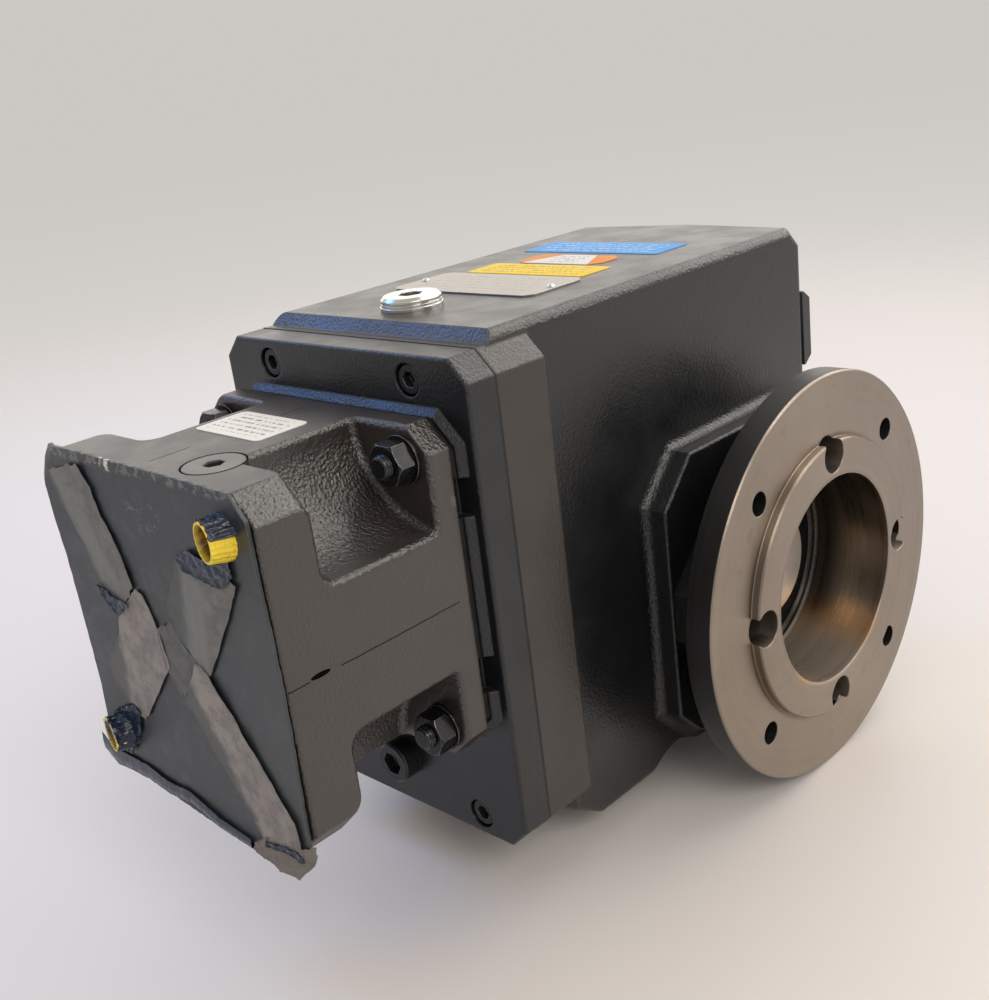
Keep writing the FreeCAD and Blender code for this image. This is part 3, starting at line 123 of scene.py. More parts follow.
class Graph:
    """A material's node tree with short calls for its nodes."""

    def __init__(self, name):
        self.material = bpy.data.materials.new(name)
        self.material.use_nodes = True
        self.tree = self.material.node_tree
        self.shader = self.tree.nodes["Principled BSDF"]
        place = self.add("ShaderNodeTexCoord").outputs["Object"]
        self.place = self.vector("SCALE", place, 1 / MM)

    def add(self, kind, **settings):
        node = self.tree.nodes.new(kind)
        for key, value in settings.items():
            setattr(node, key, value)
        return node

    def put(self, socket, value):
        if isinstance(value, bpy.types.NodeSocket):
            self.tree.links.new(value, socket)
        elif value is not None:
            socket.default_value = (*value, 1.0) if socket.type == "RGBA" else value

    def set(self, **values):
        """Puts values on the shader's sockets, with an underscore for each space in a name."""
        for key, value in values.items():
            self.put(self.shader.inputs[key.replace("_", " ")], value)

    def math(self, operation, first, second=None):
        node = self.add("ShaderNodeMath", operation=operation)
        for socket, value in zip(node.inputs, (first, second)):
            self.put(socket, value)
        return node.outputs[0]

    def times(self, first, second):
        return self.math("MULTIPLY", first, second)

    def plus(self, first, second):
        return self.math("ADD", first, second)

    def vector(self, operation, first, second=None):
        node = self.add("ShaderNodeVectorMath", operation=operation)
        self.put(node.inputs[0], first)
        if operation == "SCALE":
            self.put(node.inputs["Scale"], second)
        elif second is not None:
            self.put(node.inputs[1], second)
        return node.outputs["Value"] if operation in ("LENGTH", "DOT_PRODUCT") else node.outputs["Vector"]

    def split(self, vector):
        node = self.add("ShaderNodeSeparateXYZ")
        self.put(node.inputs[0], vector)
        return node.outputs

    def join(self, x, y, z):
        node = self.add("ShaderNodeCombineXYZ")
        for socket, value in zip(node.inputs, (x, y, z)):
            self.put(socket, value)
        return node.outputs[0]

    def stretched(self, x, y, z):
        return self.vector("MULTIPLY", self.place, (x, y, z))

    def normal(self):
        return self.split(self.add("ShaderNodeNewGeometry").outputs["Normal"])

    def noise(self, size, detail=2.0, rough=0.5, place=None):
        node = self.add("ShaderNodeTexNoise")
        self.put(node.inputs["Vector"], self.place if place is None else place)
        node.inputs["Scale"].default_value = 1.0 / size
        node.inputs["Detail"].default_value = detail
        node.inputs["Roughness"].default_value = rough
        return node.outputs["Fac"]

    def dimples(self, size):
        node = self.add("ShaderNodeTexVoronoi", feature="SMOOTH_F1")
        self.put(node.inputs["Vector"], self.place)
        node.inputs["Scale"].default_value = 1.0 / size
        node.inputs["Smoothness"].default_value = 0.6
        return node.outputs["Distance"]

    def ramp(self, value, low, high, start=0.0, end=1.0):
        node = self.add("ShaderNodeMapRange", interpolation_type="SMOOTHSTEP")
        for key, number in (("Value", value), ("From Min", low), ("From Max", high),
                            ("To Min", start), ("To Max", end)):
            self.put(node.inputs[key], number)
        return node.outputs[0]

    def between(self, value, low, high, soft=0.15):
        """1 where the value lies between the two, with soft edges."""
        rise = self.ramp(value, low - soft, low + soft)
        fall = self.ramp(value, high - soft, high + soft)
        return self.math("SUBTRACT", rise, fall)

    def mix(self, factor, first, second):
        node = self.add("ShaderNodeMix", data_type="RGBA")
        for place, value in ((0, factor), (6, first), (7, second)):
            self.put(node.inputs[place], value)
        return node.outputs[2]

    def bump(self, height, depth, strength, normal=None):
        node = self.add("ShaderNodeBump")
        self.put(node.inputs["Strength"], strength)
        node.inputs["Distance"].default_value = depth * MM
        self.put(node.inputs["Height"], height)
        self.put(node.inputs["Normal"], normal)
        return node.outputs[0]

    def edge(self, radius):
        """1 on sharp edges within the radius and 0 elsewhere, and the rounded normal."""
        soft = self.add("ShaderNodeBevel", samples=4)
        soft.inputs["Radius"].default_value = radius * MM
        true = self.add("ShaderNodeNewGeometry").outputs["Normal"]
        level = self.vector("DOT_PRODUCT", soft.outputs[0], true)
        return self.ramp(level, EDGE_STARTS, EDGE_FULL), soft.outputs[0]


def scratches(g, size, share):
    """Fine straight marks in two directions, 0 to 1."""
    marks = 0.0
    for stretch in ((1.0, 0.05, 0.35), (0.06, 1.0, 0.5)):
        lines = g.noise(size, 1.0, 0.5, g.stretched(*stretch))
        gate = g.ramp(g.noise(size * 6, 1.0), 0.56, 0.66)
        line = g.times(g.ramp(lines, 1.0 - share, 1.02 - share), gate)
        marks = g.plus(marks, line)
    return marks


# Casting paint, smoother on faces that lie level or upright

JOINT_REAR = -110.1
FLAT_FACE = (0.97, 0.995)
FLAT_GRAIN = 0.36
TOP_GRAIN = 0.5


def black_paint(name, grain_size, grain_depth, tint, gloss, smooth_top=False, joint_floor_reflection=False):
    """Casting paint, with its grain strongest on faces that slant or curve."""
    g = Graph(name)
    edge, rounded = g.edge(1.0)
    patches = g.noise(34.0, 3.0)
    height = g.plus(g.times(g.noise(grain_size), 0.8), g.times(g.dimples(grain_size * 1.5), 0.6))
    x, y, z = g.normal()
    most = g.math("MAXIMUM", g.math("ABSOLUTE", x), g.math("ABSOLUTE", y))
    most = g.math("MAXIMUM", most, g.math("ABSOLUTE", z))
    level = g.times(g.ramp(patches, 0.35, 0.65, 0.75, 1.0), g.ramp(most, *FLAT_FACE, 1.0, FLAT_GRAIN))
    if smooth_top:
        level = g.times(level, g.ramp(z, *FLAT_FACE, 1.0, TOP_GRAIN))
    bump = g.bump(height, grain_depth, level, rounded)
    color = g.mix(patches, tint, tuple(c * 1.5 for c in tint))
    # The joint flange made a lighter warm brown: a painted reflection of the warm floor
    if joint_floor_reflection:
        at_joint = g.ramp(g.split(g.place)[1], JOINT_REAR + 0.6, JOINT_REAR + 0.2)
        color = g.mix(at_joint, color, JOINT_FLOOR_REFLECTION)
    # Pale colour along sharp edges: a painted highlight
    color = g.mix(g.times(edge, 0.30), color, EDGE_HIGHLIGHT)
    gate = g.ramp(g.noise(40.0), 0.50, 0.62)
    speck = g.times(g.ramp(g.noise(1.3, 3.0, 0.7), 0.735, 0.775), gate)
    color = g.mix(g.times(speck, 0.6), color, PALE_SPECK)
    color = g.mix(g.times(scratches(g, 5.0, 0.20), 0.22), color, SCRATCH_GREY)
    rough = g.ramp(g.noise(16.0, 3.0), 0.3, 0.7, 0.29, 0.38)
    if smooth_top:
        rough = g.plus(rough, g.times(g.ramp(z, *FLAT_FACE), 0.07))
    g.set(Base_Color=color, Roughness=rough, Normal=bump, Specular_IOR_Level=gloss)
    return g.material


# Output flange, bare metal in front and in its bore and painted behind, as radii and x

PILOT_EDGE = 56.0
PILOT_CORNER = 55.6
BORE_EDGE = 42.0
RIM_BACK = -11.2
HUB_BACK = -30.0
BORE_LIP = -29.2
RUST_BAND = (-36.0, -27.0)
BORE_FOOT = (-28.0, -37.0)


def machined_flange():
    g = Graph("turned_flange")
    edge, rounded = g.edge(0.7)
    x, y, z = g.split(g.place)
    radius = g.vector("LENGTH", g.join(0.0, y, z))
    front = g.ramp(g.normal()[0], 0.4, 0.6)
    inside = g.ramp(radius, PILOT_EDGE + 0.5, PILOT_EDGE)
    bare = g.math("MAXIMUM", front, inside)
    bare = g.times(bare, g.ramp(x, RIM_BACK - 0.2, RIM_BACK + 0.2))
    bore = g.times(g.ramp(radius, BORE_EDGE + 0.5, BORE_EDGE), g.ramp(x, HUB_BACK - 0.5, HUB_BACK + 0.5))
    bare = g.math("MAXIMUM", bare, bore)
    turned = g.join(radius, 0.0, g.times(x, 0.8))
    rings = g.noise(0.55, 2.0, 0.6, turned)
    wide = g.noise(4.0, 2.0, 0.6, turned)
    blotch = g.noise(24.0, 4.0, 0.6)
    metal = g.mix(blotch, FLANGE_DARK, FLANGE_LIGHT)
    metal = g.mix(g.times(rings, 0.30), metal, (0.17, 0.135, 0.11))
    stain = g.ramp(g.noise(8.0, 4.0), 0.60, 0.74)
    metal = g.mix(g.times(stain, 0.4), metal, (0.22, 0.15, 0.10))
    uneven = g.times(g.plus(g.noise(9.0, 3.0, 0.6), -0.5), 9.0)
    rust = g.between(g.plus(z, uneven), *RUST_BAND, 3.5)
    metal = g.mix(bore, metal, BORE_BROWN)
    # Lighter, less metallic tone low in the bore: a painted highlight
    foot = g.times(g.ramp(z, *BORE_FOOT), bore)
    metal = g.mix(foot, metal, BORE_FOOT_HIGHLIGHT)
    metal = g.mix(g.times(g.times(rust, bore), 0.75), metal, RUST)
    lip = g.times(g.ramp(g.math("ABSOLUTE", g.plus(x, -BORE_LIP)), 0.9, 0.4), bore)
    metal = g.mix(lip, metal, (0.62, 0.56, 0.48))
    from_corner = g.math("ABSOLUTE", g.plus(radius, -PILOT_CORNER))
    metal = g.mix(g.times(g.times(g.ramp(from_corner, 1.6, 0.2), front), 0.6), metal, (0.16, 0.10, 0.06))
    # Black paint behind the bare metal, darker than the case paint: painted shade on the rim and hub
    paint = g.mix(blotch, (0.0030, 0.0030, 0.0032), (0.0052, 0.0051, 0.0050))
    color = g.mix(bare, paint, metal)
    wear = g.times(g.times(edge, 0.5), g.plus(0.15, g.times(bare, 0.85)))
    color = g.mix(wear, color, (0.42, 0.38, 0.33))
    rough = g.plus(g.ramp(wide, 0.3, 0.7, 0.30, 0.40), g.times(rings, 0.08))
    rough = g.math("SUBTRACT", rough, g.times(bore, 0.10))
    grain = g.times(g.noise(1.2), g.math("SUBTRACT", 1.0, bare))
    bump = g.bump(g.plus(g.times(rings, bare), g.times(grain, 2.0)), 0.05, 0.6, rounded)
    metallic = g.plus(bare, g.times(foot, -0.42))
    tangent = g.add("ShaderNodeTangent", direction_type="RADIAL", axis="X").outputs[0]
    g.set(Base_Color=color, Metallic=metallic, Roughness=rough, Normal=bump, Tangent=tangent,
          Anisotropic=0.5, Anisotropic_Rotation=0.25)
    return g.material


def shaded(color, dark, light):
    """A darker and a lighter tone of a colour."""
    return tuple(c * dark for c in color), tuple(min(1.0, c * light) for c in color)


def steel(name, color, rough, metallic=1.0, grain=0.3, worn=(0.6, 0.6, 0.6), wear=0.4, gloss=None):
    g = Graph(name)
    edge, rounded = g.edge(0.4)
    blotch = g.noise(7.0, 3.0)
    base = g.mix(blotch, *shaded(color, 0.8, 1.15))
    base = g.mix(g.times(edge, wear), base, worn)
    bump = g.bump(g.noise(0.5), grain * 0.1, 0.5, rounded)
    level = g.ramp(g.noise(3.0), 0.3, 0.7, rough * 0.85, rough * 1.15)
    g.set(Base_Color=base, Metallic=metallic, Roughness=level, Normal=bump, Specular_IOR_Level=gloss)
    return g.material


def turned_steel(name, color, rough, axis, metallic=1.0):
    """Steel with fine rings round an axis of the row frame."""
    g = Graph(name)
    edge, rounded = g.edge(0.5)
    x, y, z = g.split(g.place)
    across = g.join(0.0, y, z) if axis == "x" else g.join(g.plus(x, -AXIS_X), 0.0, z)
    radius = g.vector("LENGTH", across)
    rings = g.noise(0.45, 2.0, 0.6, g.join(radius, 0.0, 0.0))
    blotch = g.noise(9.0, 3.0)
    base = g.mix(blotch, *shaded(color, 0.82, 1.12))
    base = g.mix(g.times(rings, 0.25), base, tuple(c * 0.5 for c in color))
    base = g.mix(g.times(edge, 0.4), base, (0.75, 0.74, 0.71))
    level = g.ramp(rings, 0.3, 0.7, rough * 0.85, rough * 1.2)
    g.set(Base_Color=base, Metallic=metallic, Roughness=level, Normal=g.bump(rings, 0.02, 0.5, rounded))
    return g.material


# Nameplate, with rows of marks inside its margins

PLATE_ROW_DEPTH = 4.4
PLATE_END_MARGIN = 8.0
PLATE_SIDE_MARGIN = 3.0


def nameplate_metal():
    g = Graph("brushed_plate")
    edge, rounded = g.edge(0.3)
    x, y, _ = g.split(g.place)
    low, high = box_of("nameplate")
    brushed = g.noise(0.35, 2.0, 0.6, g.stretched(0.04, 1.0, 1.0))
    base = g.mix(brushed, (0.27, 0.25, 0.22), (0.40, 0.37, 0.33))
    rows = g.math("FRACT", g.times(g.plus(y, -low[1]), 1 / PLATE_ROW_DEPTH))
    rule = g.between(rows, 0.47, 0.53, 0.02)
    words = g.ramp(g.noise(1.1, 1.0, 0.5, g.stretched(1.0, 0.12, 0.0)), 0.50, 0.56)
    text = g.times(g.between(rows, 0.62, 0.82, 0.03), words)
    inner = g.times(g.between(x, low[0] + PLATE_END_MARGIN, high[0] - PLATE_END_MARGIN),
                    g.between(y, low[1] + PLATE_SIDE_MARGIN, high[1] - PLATE_SIDE_MARGIN))
    marks = g.times(g.plus(g.times(rule, 0.5), g.times(text, 0.8)), inner)
    base = g.mix(g.times(marks, 0.75), base, (0.12, 0.115, 0.105))
    base = g.mix(g.times(edge, 0.5), base, (0.85, 0.83, 0.78))
    height = g.plus(g.times(brushed, 0.2), g.times(marks, -1.0))
    g.set(Base_Color=base, Metallic=0.9, Roughness=g.ramp(brushed, 0.3, 0.7, 0.30, 0.42),
          Normal=g.bump(height, 0.05, 0.7, rounded))
    return g.material


# Protective sheet, chipped along its top between two x and scuffed at a place in (x, z)

CHIPPED = (-115.0, -106.0)
SCUFF_PLACE = (-95.0, 90.0)


def sheet_plastic():
    g = Graph("scuffed_sheet")
    edge, rounded = g.edge(0.6)
    x, _, z = g.split(g.place)
    cloud = g.noise(30.0, 4.0, 0.6)
    haze = g.noise(6.0, 4.0, 0.65)
    base = g.mix(cloud, SHEET_DARK, SHEET_LIGHT)
    right = g.times(g.ramp(x, -80.0, -45.0), g.ramp(z, 90.0, 60.0))
    base = g.mix(g.times(right, 0.7), base, (0.036, 0.042, 0.042))
    base = g.mix(g.times(g.ramp(haze, 0.45, 0.75), 0.35), base, (0.085, 0.088, 0.088))
    low_edge = g.ramp(z, sheet_low[2] + 16.0, sheet_low[2] + 4.0)
    base = g.mix(g.times(low_edge, 0.5), base, (0.020, 0.026, 0.036))
    worn_top = g.plus(g.times(g.between(x, *CHIPPED, 1.2), 0.9), 0.16)
    chips = g.times(g.ramp(z, sheet_high[2] - 2.6, sheet_high[2] - 0.8),
                    g.times(g.ramp(g.noise(3.0, 3.0, 0.7), 0.50, 0.56), worn_top))
    from_scuff = g.join(g.plus(x, -SCUFF_PLACE[0]), 0.0, g.times(g.plus(z, -SCUFF_PLACE[1]), 1.4))
    near_scuff = g.ramp(g.vector("LENGTH", from_scuff), 12.0, 7.0)
    squiggle = g.times(g.between(g.noise(7.0, 2.0, 0.6), 0.490, 0.503, 0.006), near_scuff)
    rub = g.times(g.ramp(g.noise(2.2, 4.0, 0.75), 0.63, 0.72), g.ramp(g.noise(17.0, 1.0), 0.52, 0.64))
    base = g.mix(g.times(rub, 0.28), base, SCUFF_GREY)
    base = g.mix(g.times(squiggle, 0.35), base, SCUFF_GREY)
    base = g.mix(chips, base, (0.62, 0.57, 0.50))
    base = g.mix(g.times(scratches(g, 6.0, 0.22), 0.35), base, (0.20, 0.20, 0.19))
    base = g.mix(g.times(edge, 0.5), base, (0.16, 0.16, 0.155))
    bump = g.bump(g.plus(g.times(haze, 0.6), g.times(g.noise(1.0), 0.2)), 0.22, 0.5, rounded)
    g.set(Base_Color=base, Roughness=g.ramp(haze, 0.3, 0.7, 0.34, 0.50), Normal=bump)
    return g.material


def cloth_tape(name, dark, light, wear, left=None, fade=None):
    """Worn fabric tape along its own x axis, with another tone or a faded edge towards negative y."""
    g = Graph(name)
    y = g.split(g.place)[1]
    along = g.noise(2.4, 4.0, 0.6, g.stretched(0.10, 1.0, 1.0))
    cloud = g.noise(8.0, 6.0, 0.72)
    rib = g.noise(0.5, 1.0, 0.5, g.stretched(0.25, 1.0, 1.0))
    base = g.mix(g.ramp(cloud, 0.36, 0.64), dark, light)
    shift = g.plus(y, g.times(g.plus(cloud, -0.5), 8.0))
    if left is not None:
        base = g.mix(g.times(g.ramp(shift, 2.0, -2.5), 0.7), base, left)
    base = g.mix(g.times(g.ramp(along, 0.45, 0.8), 0.25), base, tuple(c * 1.3 for c in light))
    dirt = g.ramp(g.noise(4.0, 5.0, 0.7), 0.55, 0.72)
    base = g.mix(g.times(dirt, wear), base, tuple(c * 0.40 for c in dark))
    if fade is not None:
        base = g.mix(g.times(g.ramp(shift, fade + 4.0, fade), 0.75), base, (0.040, 0.045, 0.045))
    fleck = g.ramp(g.noise(1.3, 4.0, 0.75), 0.70, 0.78)
    base = g.mix(g.times(fleck, 0.35), base, (0.42, 0.39, 0.34))
    mark = g.ramp(g.noise(1.7, 4.0, 0.75), 0.30, 0.24)
    base = g.mix(g.times(mark, 0.5), base, (0.035, 0.035, 0.035))
    height = g.plus(g.times(along, 0.5), g.plus(g.times(cloud, 0.8), g.times(rib, 0.12)))
    g.set(Base_Color=base, Roughness=g.ramp(cloud, 0.3, 0.7, 0.42, 0.6), Normal=g.bump(height, 0.30, 0.6))
    return g.material


def black_tape():
    g = Graph("black_creased_tape")
    cloud = g.noise(6.0, 3.0)
    crease = g.noise(2.6, 3.0, 0.55)
    base = g.mix(cloud, TAPE_NAVY_DARK, TAPE_NAVY_AND_SHEEN)
    # Pale flecks: painted glints on the tape's creases
    base = g.mix(g.times(g.ramp(g.noise(1.4, 3.0, 0.6), 0.68, 0.76), 0.25), base, (0.34, 0.33, 0.31))
    g.set(Base_Color=base, Roughness=g.ramp(crease, 0.3, 0.7, 0.22, 0.36), Normal=g.bump(crease, 0.28, 0.6))
    return g.material


def yellow_plastic():
    g = Graph("yellow_plug")
    x, y, z = g.split(g.place)
    cloud = g.noise(3.0, 4.0, 0.65)
    base = g.mix(cloud, YELLOW_DARK, YELLOW_LIGHT)
    grime = g.ramp(g.noise(1.6, 5.0, 0.75), 0.52, 0.66)
    base = g.mix(g.times(grime, 0.55), base, (0.16, 0.085, 0.01))
    upper = g.math("GREATER_THAN", x, AXIS_X)
    from_x = g.plus(x, g.plus(PLUG_OFFSET - AXIS_X, g.times(upper, -2 * PLUG_OFFSET)))
    from_z = g.plus(z, g.plus(PLUG_OFFSET - INPUT_Z, g.times(upper, -2 * PLUG_OFFSET)))
    facing_x, _, facing_z = g.normal()
    outward = g.plus(g.times(from_x, facing_x), g.times(from_z, facing_z))
    # Dark brown inside the cups: painted shade, deepest away from the mouth, with lighter vertical streaks
    inside = g.times(g.ramp(outward, -0.5, -2.0), g.ramp(y, plug_low[1] + 0.2, plug_low[1] + 2.2, 0.45, 1.0))
    streak = g.ramp(g.noise(1.2, 3.0, 0.6, g.stretched(1.0, 0.15, 1.0)), 0.45, 0.65)
    base = g.mix(g.times(inside, 0.92), base, g.mix(streak, (0.055, 0.022, 0.003), (0.26, 0.13, 0.02)))
    chip = g.ramp(g.noise(0.9, 3.0, 0.7), 0.66, 0.72)
    base = g.mix(g.times(chip, 0.5), base, (0.92, 0.86, 0.62))
    g.set(Base_Color=base, Roughness=g.ramp(cloud, 0.3, 0.7, 0.32, 0.5), Normal=g.bump(cloud, 0.12, 0.6),
          Subsurface_Weight=0.12, Subsurface_Radius=(0.002, 0.001, 0.0005))
    return g.material


def sticker(name, ground, ink, row_depth, margins, band=None, band_color=None):
    """A printed label: rows of plain marks inside the margins, and a band of colour at each end."""
    g = Graph(name)
    x, y, _ = g.split(g.place)
    base = g.mix(g.noise(12.0, 3.0), tuple(c * 0.93 for c in ground), ground)
    rows = g.math("FRACT", g.times(y, 1 / row_depth))
    words = g.ramp(g.noise(1.2, 1.0, 0.5, g.stretched(1.0, 0.1, 0.0)), 0.47, 0.52)
    line = g.times(g.between(rows, 0.30, 0.66, 0.06), words)
    half_x, half_y = margins
    inside = g.times(g.between(x, -half_x, half_x), g.between(y, -half_y, half_y))
    base = g.mix(g.times(g.times(line, inside), 0.72), base, ink)
    if band is not None:
        reach = g.plus(g.math("ABSOLUTE", x), g.times(y, 0.5))
        outer = g.between(reach, band, band + 11.0, 0.2)
        base = g.mix(outer, base, band_color)
    rub = g.ramp(g.noise(2.5, 4.0, 0.7), 0.66, 0.76)
    base = g.mix(g.times(rub, 0.3), base, (0.62, 0.60, 0.56))
    g.set(Base_Color=base, Roughness=g.ramp(g.noise(9.0), 0.3, 0.7, 0.46, 0.58),
          Normal=g.bump(g.noise(7.0), 0.25, 0.4), Specular_IOR_Level=0.22)
    return g.material


ZINC = steel("zinc_plate", (0.66, 0.65, 0.61), 0.24, worn=(0.9, 0.9, 0.88), grain=0.4)
DARK_STEEL = steel("blackened_steel", (0.020, 0.020, 0.021), 0.28, 0.75, worn=(0.38, 0.37, 0.35), wear=0.55)
MATERIALS = {
    "case_paint": black_paint("casting_paint", 0.80, 0.36, CASE_BLACK, 0.66, joint_floor_reflection=True),
    "flange_iron": machined_flange(),
    "shaft_steel": turned_steel("ground_shaft", (0.60, 0.55, 0.48), 0.38, "x", 0.75),
    "gear_steel": steel("cut_gear", (0.42, 0.42, 0.43), 0.35),
    "key_steel": steel("drawn_key", (0.45, 0.45, 0.46), 0.4),
    "bearing_steel": steel("bearing_ring", (0.60, 0.61, 0.63), 0.22),
    "spring_steel": steel("spring_clip", (0.12, 0.12, 0.13), 0.4),
    "dark_screw": steel("dark_screw", (0.030, 0.030, 0.033), 0.32, 0.6, worn=(0.36, 0.36, 0.35)),
    "plated_steel": DARK_STEEL,
    "zinc_plug": ZINC,
    "seal_rubber": steel("seal_rubber", (0.004, 0.004, 0.0042), 0.6, 0.0, worn=(0.010, 0.010, 0.010),
                         gloss=0.1),
    "gasket": steel("gasket", (0.006, 0.006, 0.006), 0.5, 0.0, worn=(0.010, 0.010, 0.010)),
    "sheet_plastic": sheet_plastic(),
    "plug_plastic": yellow_plastic(),
    "plate_metal": nameplate_metal(),
}
SPECIAL = {
    "motor_adapter": black_paint("adapter_paint", 0.85, 0.55, ADAPTER_BLACK_AND_REFLECTION, 0.95, smooth_top=True),
    "front_cover": black_paint("cover_paint", 0.80, 0.36, COVER_BLACK, 0.58),
    "access_plug": black_paint("plug_paint", 0.9, 0.06, PLUG_BROWN, 1.0),
    "nameplate_rivets": ZINC,
    "pinion_shaft": turned_steel("ground_pinion", (0.56, 0.54, 0.50), 0.32, "y"),
    "clamp_hub": turned_steel("turned_hub", (0.50, 0.48, 0.45), 0.36, "y"),
}

record_slots = {entry["node"]: entry["material_slot"] for entry in frame["record"]["subparts"]}
for node_name, node in frame["nodes"].items():
    for slot in node.material_slots:
        slot.material = SPECIAL.get(node_name, MATERIALS[record_slots[node_name]])


# Building pieces

def add_piece(name, points, faces, material, sharp=None, replaces=None, matrix=None):
    """A piece on the gear case, in flat faces unless it has an angle past which edges stay sharp."""
    mesh = bpy.data.meshes.new(name)
    mesh.from_pydata([tuple(c * MM for c in point) for point in points], [], faces)
    mesh.validate()
    for polygon in mesh.polygons:
        polygon.use_smooth = sharp is not None
    if sharp is not None:
        crease(mesh, sharp)
    mesh.materials.append(material)
    piece = bpy.data.objects.new(name, mesh)
    if matrix is not None:
        piece.matrix_world = matrix
    bpy.context.scene.collection.objects.link(piece)
    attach(piece, "gear_case")
    if replaces:
        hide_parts(replaces)


def crease(mesh, degrees):
    limit = math.radians(degrees)
    pairs = {}
    for polygon in mesh.polygons:
        for key in polygon.edge_keys:
            pairs.setdefault(key, []).append(polygon.normal)
    for edge in mesh.edges:
        normals = pairs.get(edge.key, [])
        if len(normals) == 2 and normals[0].angle(normals[1], 0.0) > limit:
            edge.use_edge_sharp = True


def grid_faces(rows, columns, start=0, close=False):
    """The faces between rows of points, closed into rings where asked."""
    faces = []
    for i in range(rows - 1):
        for j in range(columns if close else columns - 1):
            a = start + i * columns + j
            b = start + i * columns + (j + 1) % columns
            faces.append((a, b, b + columns, a + columns))
    return faces


def thick_grid(rows, columns, front, back):
    """A plate between two grids of points with its rim closed."""
    points = front + back
    size = rows * columns
    faces = [tuple(reversed(face)) for face in grid_faces(rows, columns)]
    faces += grid_faces(rows, columns, size)
    around = list(range(columns))
    around += [i * columns + columns - 1 for i in range(1, rows)]
    around += [(rows - 1) * columns + j for j in range(columns - 2, -1, -1)]
    around += [i * columns for i in range(rows - 2, 0, -1)]
    for a, b in zip(around, around[1:] + around[:1]):
        faces.append((a, b, b + size, a + size))
    return points, faces


def wave(size, *place):
    return noise.noise(Vector(place) / size)


def lathe(profile, turns, place, ripple=None):
    """Rings of (radius, y) round a line along y through the place (x, z)."""
    points = []
    for radius, y in profile:
        for k in range(turns):
            angle = 2 * math.pi * k / turns
            r = radius + (ripple(angle, y) if ripple else 0.0)
            points.append((place[0] + r * math.cos(angle), y, place[1] + r * math.sin(angle)))
    return points, grid_faces(len(profile), turns, close=True)


def walk(points, share):
    """The point at a share of the length of a run of straight lines."""
    lengths = [math.dist(a, b) for a, b in zip(points, points[1:])]
    left = share * sum(lengths)
    for a, b, length in zip(points, points[1:], lengths):
        if left <= length or b is points[-1]:
            t = min(1.0, left / length)
            return tuple(u + (v - u) * t for u, v in zip(a, b))
        left -= length


# Protective sheet on the motor side, as its four edges in (x, z)

SHEET_THICKNESS = 1.2
SHEET_SWELL = 0.45
CORNER_BEND, CORNER_SLOPE, CORNER_REACH = 2.2, 0.22, 9.0
FOOT_BEND, FOOT_SLOPE = 1.4, 0.16
RIM_WAVE = 0.35
SHEET_LEFT = ((-153.5, -11.0), (-152.6, 5.0), (-151.6, 16.0), (-151.4, 42.0), (-152.3, 65.0),
              (-154.3, 80.0), (-155.0, 90.0), (-152.5, 99.5), (-147.5, 104.8))
SHEET_TOP = ((-147.5, 104.8), (-129.0, 105.2), (-108.0, 104.8), (-82.6, 104.6), (-61.0, 104.5),
             (-46.0, 104.2))
SHEET_RIGHT = ((-41.0, -7.0), (-40.6, 3.7), (-40.2, 17.0), (-39.3, 36.0), (-39.3, 62.0), (-39.8, 80.0),
               (-40.0, 96.5), (-46.0, 104.2))
SHEET_BOTTOM = ((-153.5, -11.0), (-147.0, -12.0), (-130.5, -13.4), (-106.0, -15.2), (-85.0, -16.8),
                (-64.0, -14.8), (-52.0, -12.0), (-41.0, -7.0))


def sheet_level(x, z):
    """The y of the sheet's front, bent back at its top left corner and forward below the adapter."""
    swell = SHEET_SWELL * (wave(34.0, x, z, 3.0) + 1.0) * 0.5
    beyond = max(0.0, (AXIS_X - x) + (z - INPUT_Z) - 2 * HALF + CORNER_REACH)
    below = max(0.0, INPUT_Z - HALF - z)
    return SHEET_FACE - swell + min(CORNER_BEND, beyond * CORNER_SLOPE) - min(FOOT_BEND, below * FOOT_SLOPE)


def make_sheet():
    """A plate ruled between its four edges, whose rim waves a little."""
    rows = columns = 64
    front, back = [], []
    corners = SHEET_BOTTOM[0], SHEET_BOTTOM[-1], SHEET_TOP[0], SHEET_TOP[-1]
    for i in range(rows):
        t = i / (rows - 1)
        left, right = walk(SHEET_LEFT, t), walk(SHEET_RIGHT, t)
        for j in range(columns):
            s = j / (columns - 1)
            low, high = walk(SHEET_BOTTOM, s), walk(SHEET_TOP, s)
            place = []
            for axis in (0, 1):
                ruled = (1 - t) * low[axis] + t * high[axis] + (1 - s) * left[axis] + s * right[axis]
                plain = ((1 - s) * (1 - t) * corners[0][axis] + s * (1 - t) * corners[1][axis]
                         + (1 - s) * t * corners[2][axis] + s * t * corners[3][axis])
                place.append(ruled - plain)
            if i in (0, rows - 1) or j in (0, columns - 1):
                place[0] += RIM_WAVE * wave(2.5, place[0], place[1], 11.0)
                place[1] += RIM_WAVE * wave(2.5, place[0], place[1], 23.0)
            level = sheet_level(*place)
            front.append((place[0], level, place[1]))
            back.append((place[0], level + SHEET_THICKNESS, place[1]))
    points, faces = thick_grid(rows, columns, front, back)
    add_piece("curled_sheet", points, faces, MATERIALS["sheet_plastic"], sharp=50,
              replaces="protective_sheet")


# Strips of tape, as their left and right edges in (x, z) and how far they lie off the sheet

TAPE_THICKNESS = 0.22
WARM_TAPE = cloth_tape("worn_tape", (0.120, 0.106, 0.095), (0.255, 0.228, 0.207), 0.45, fade=-11.0)
GREY_TAPE = cloth_tape("grey_tape", (0.070, 0.067, 0.061), (0.165, 0.155, 0.140), 0.50,
                       left=(0.150, 0.153, 0.140), fade=-12.5)
DIRTY_TAPE = cloth_tape("dirty_tape", (0.035, 0.037, 0.035), (0.105, 0.103, 0.095), 0.6)
TORN_TAPE = cloth_tape("torn_tape", (0.12, 0.10, 0.08), (0.24, 0.20, 0.165), 0.45,
                       left=(0.09, 0.08, 0.07))
BLACK_TAPE = black_tape()


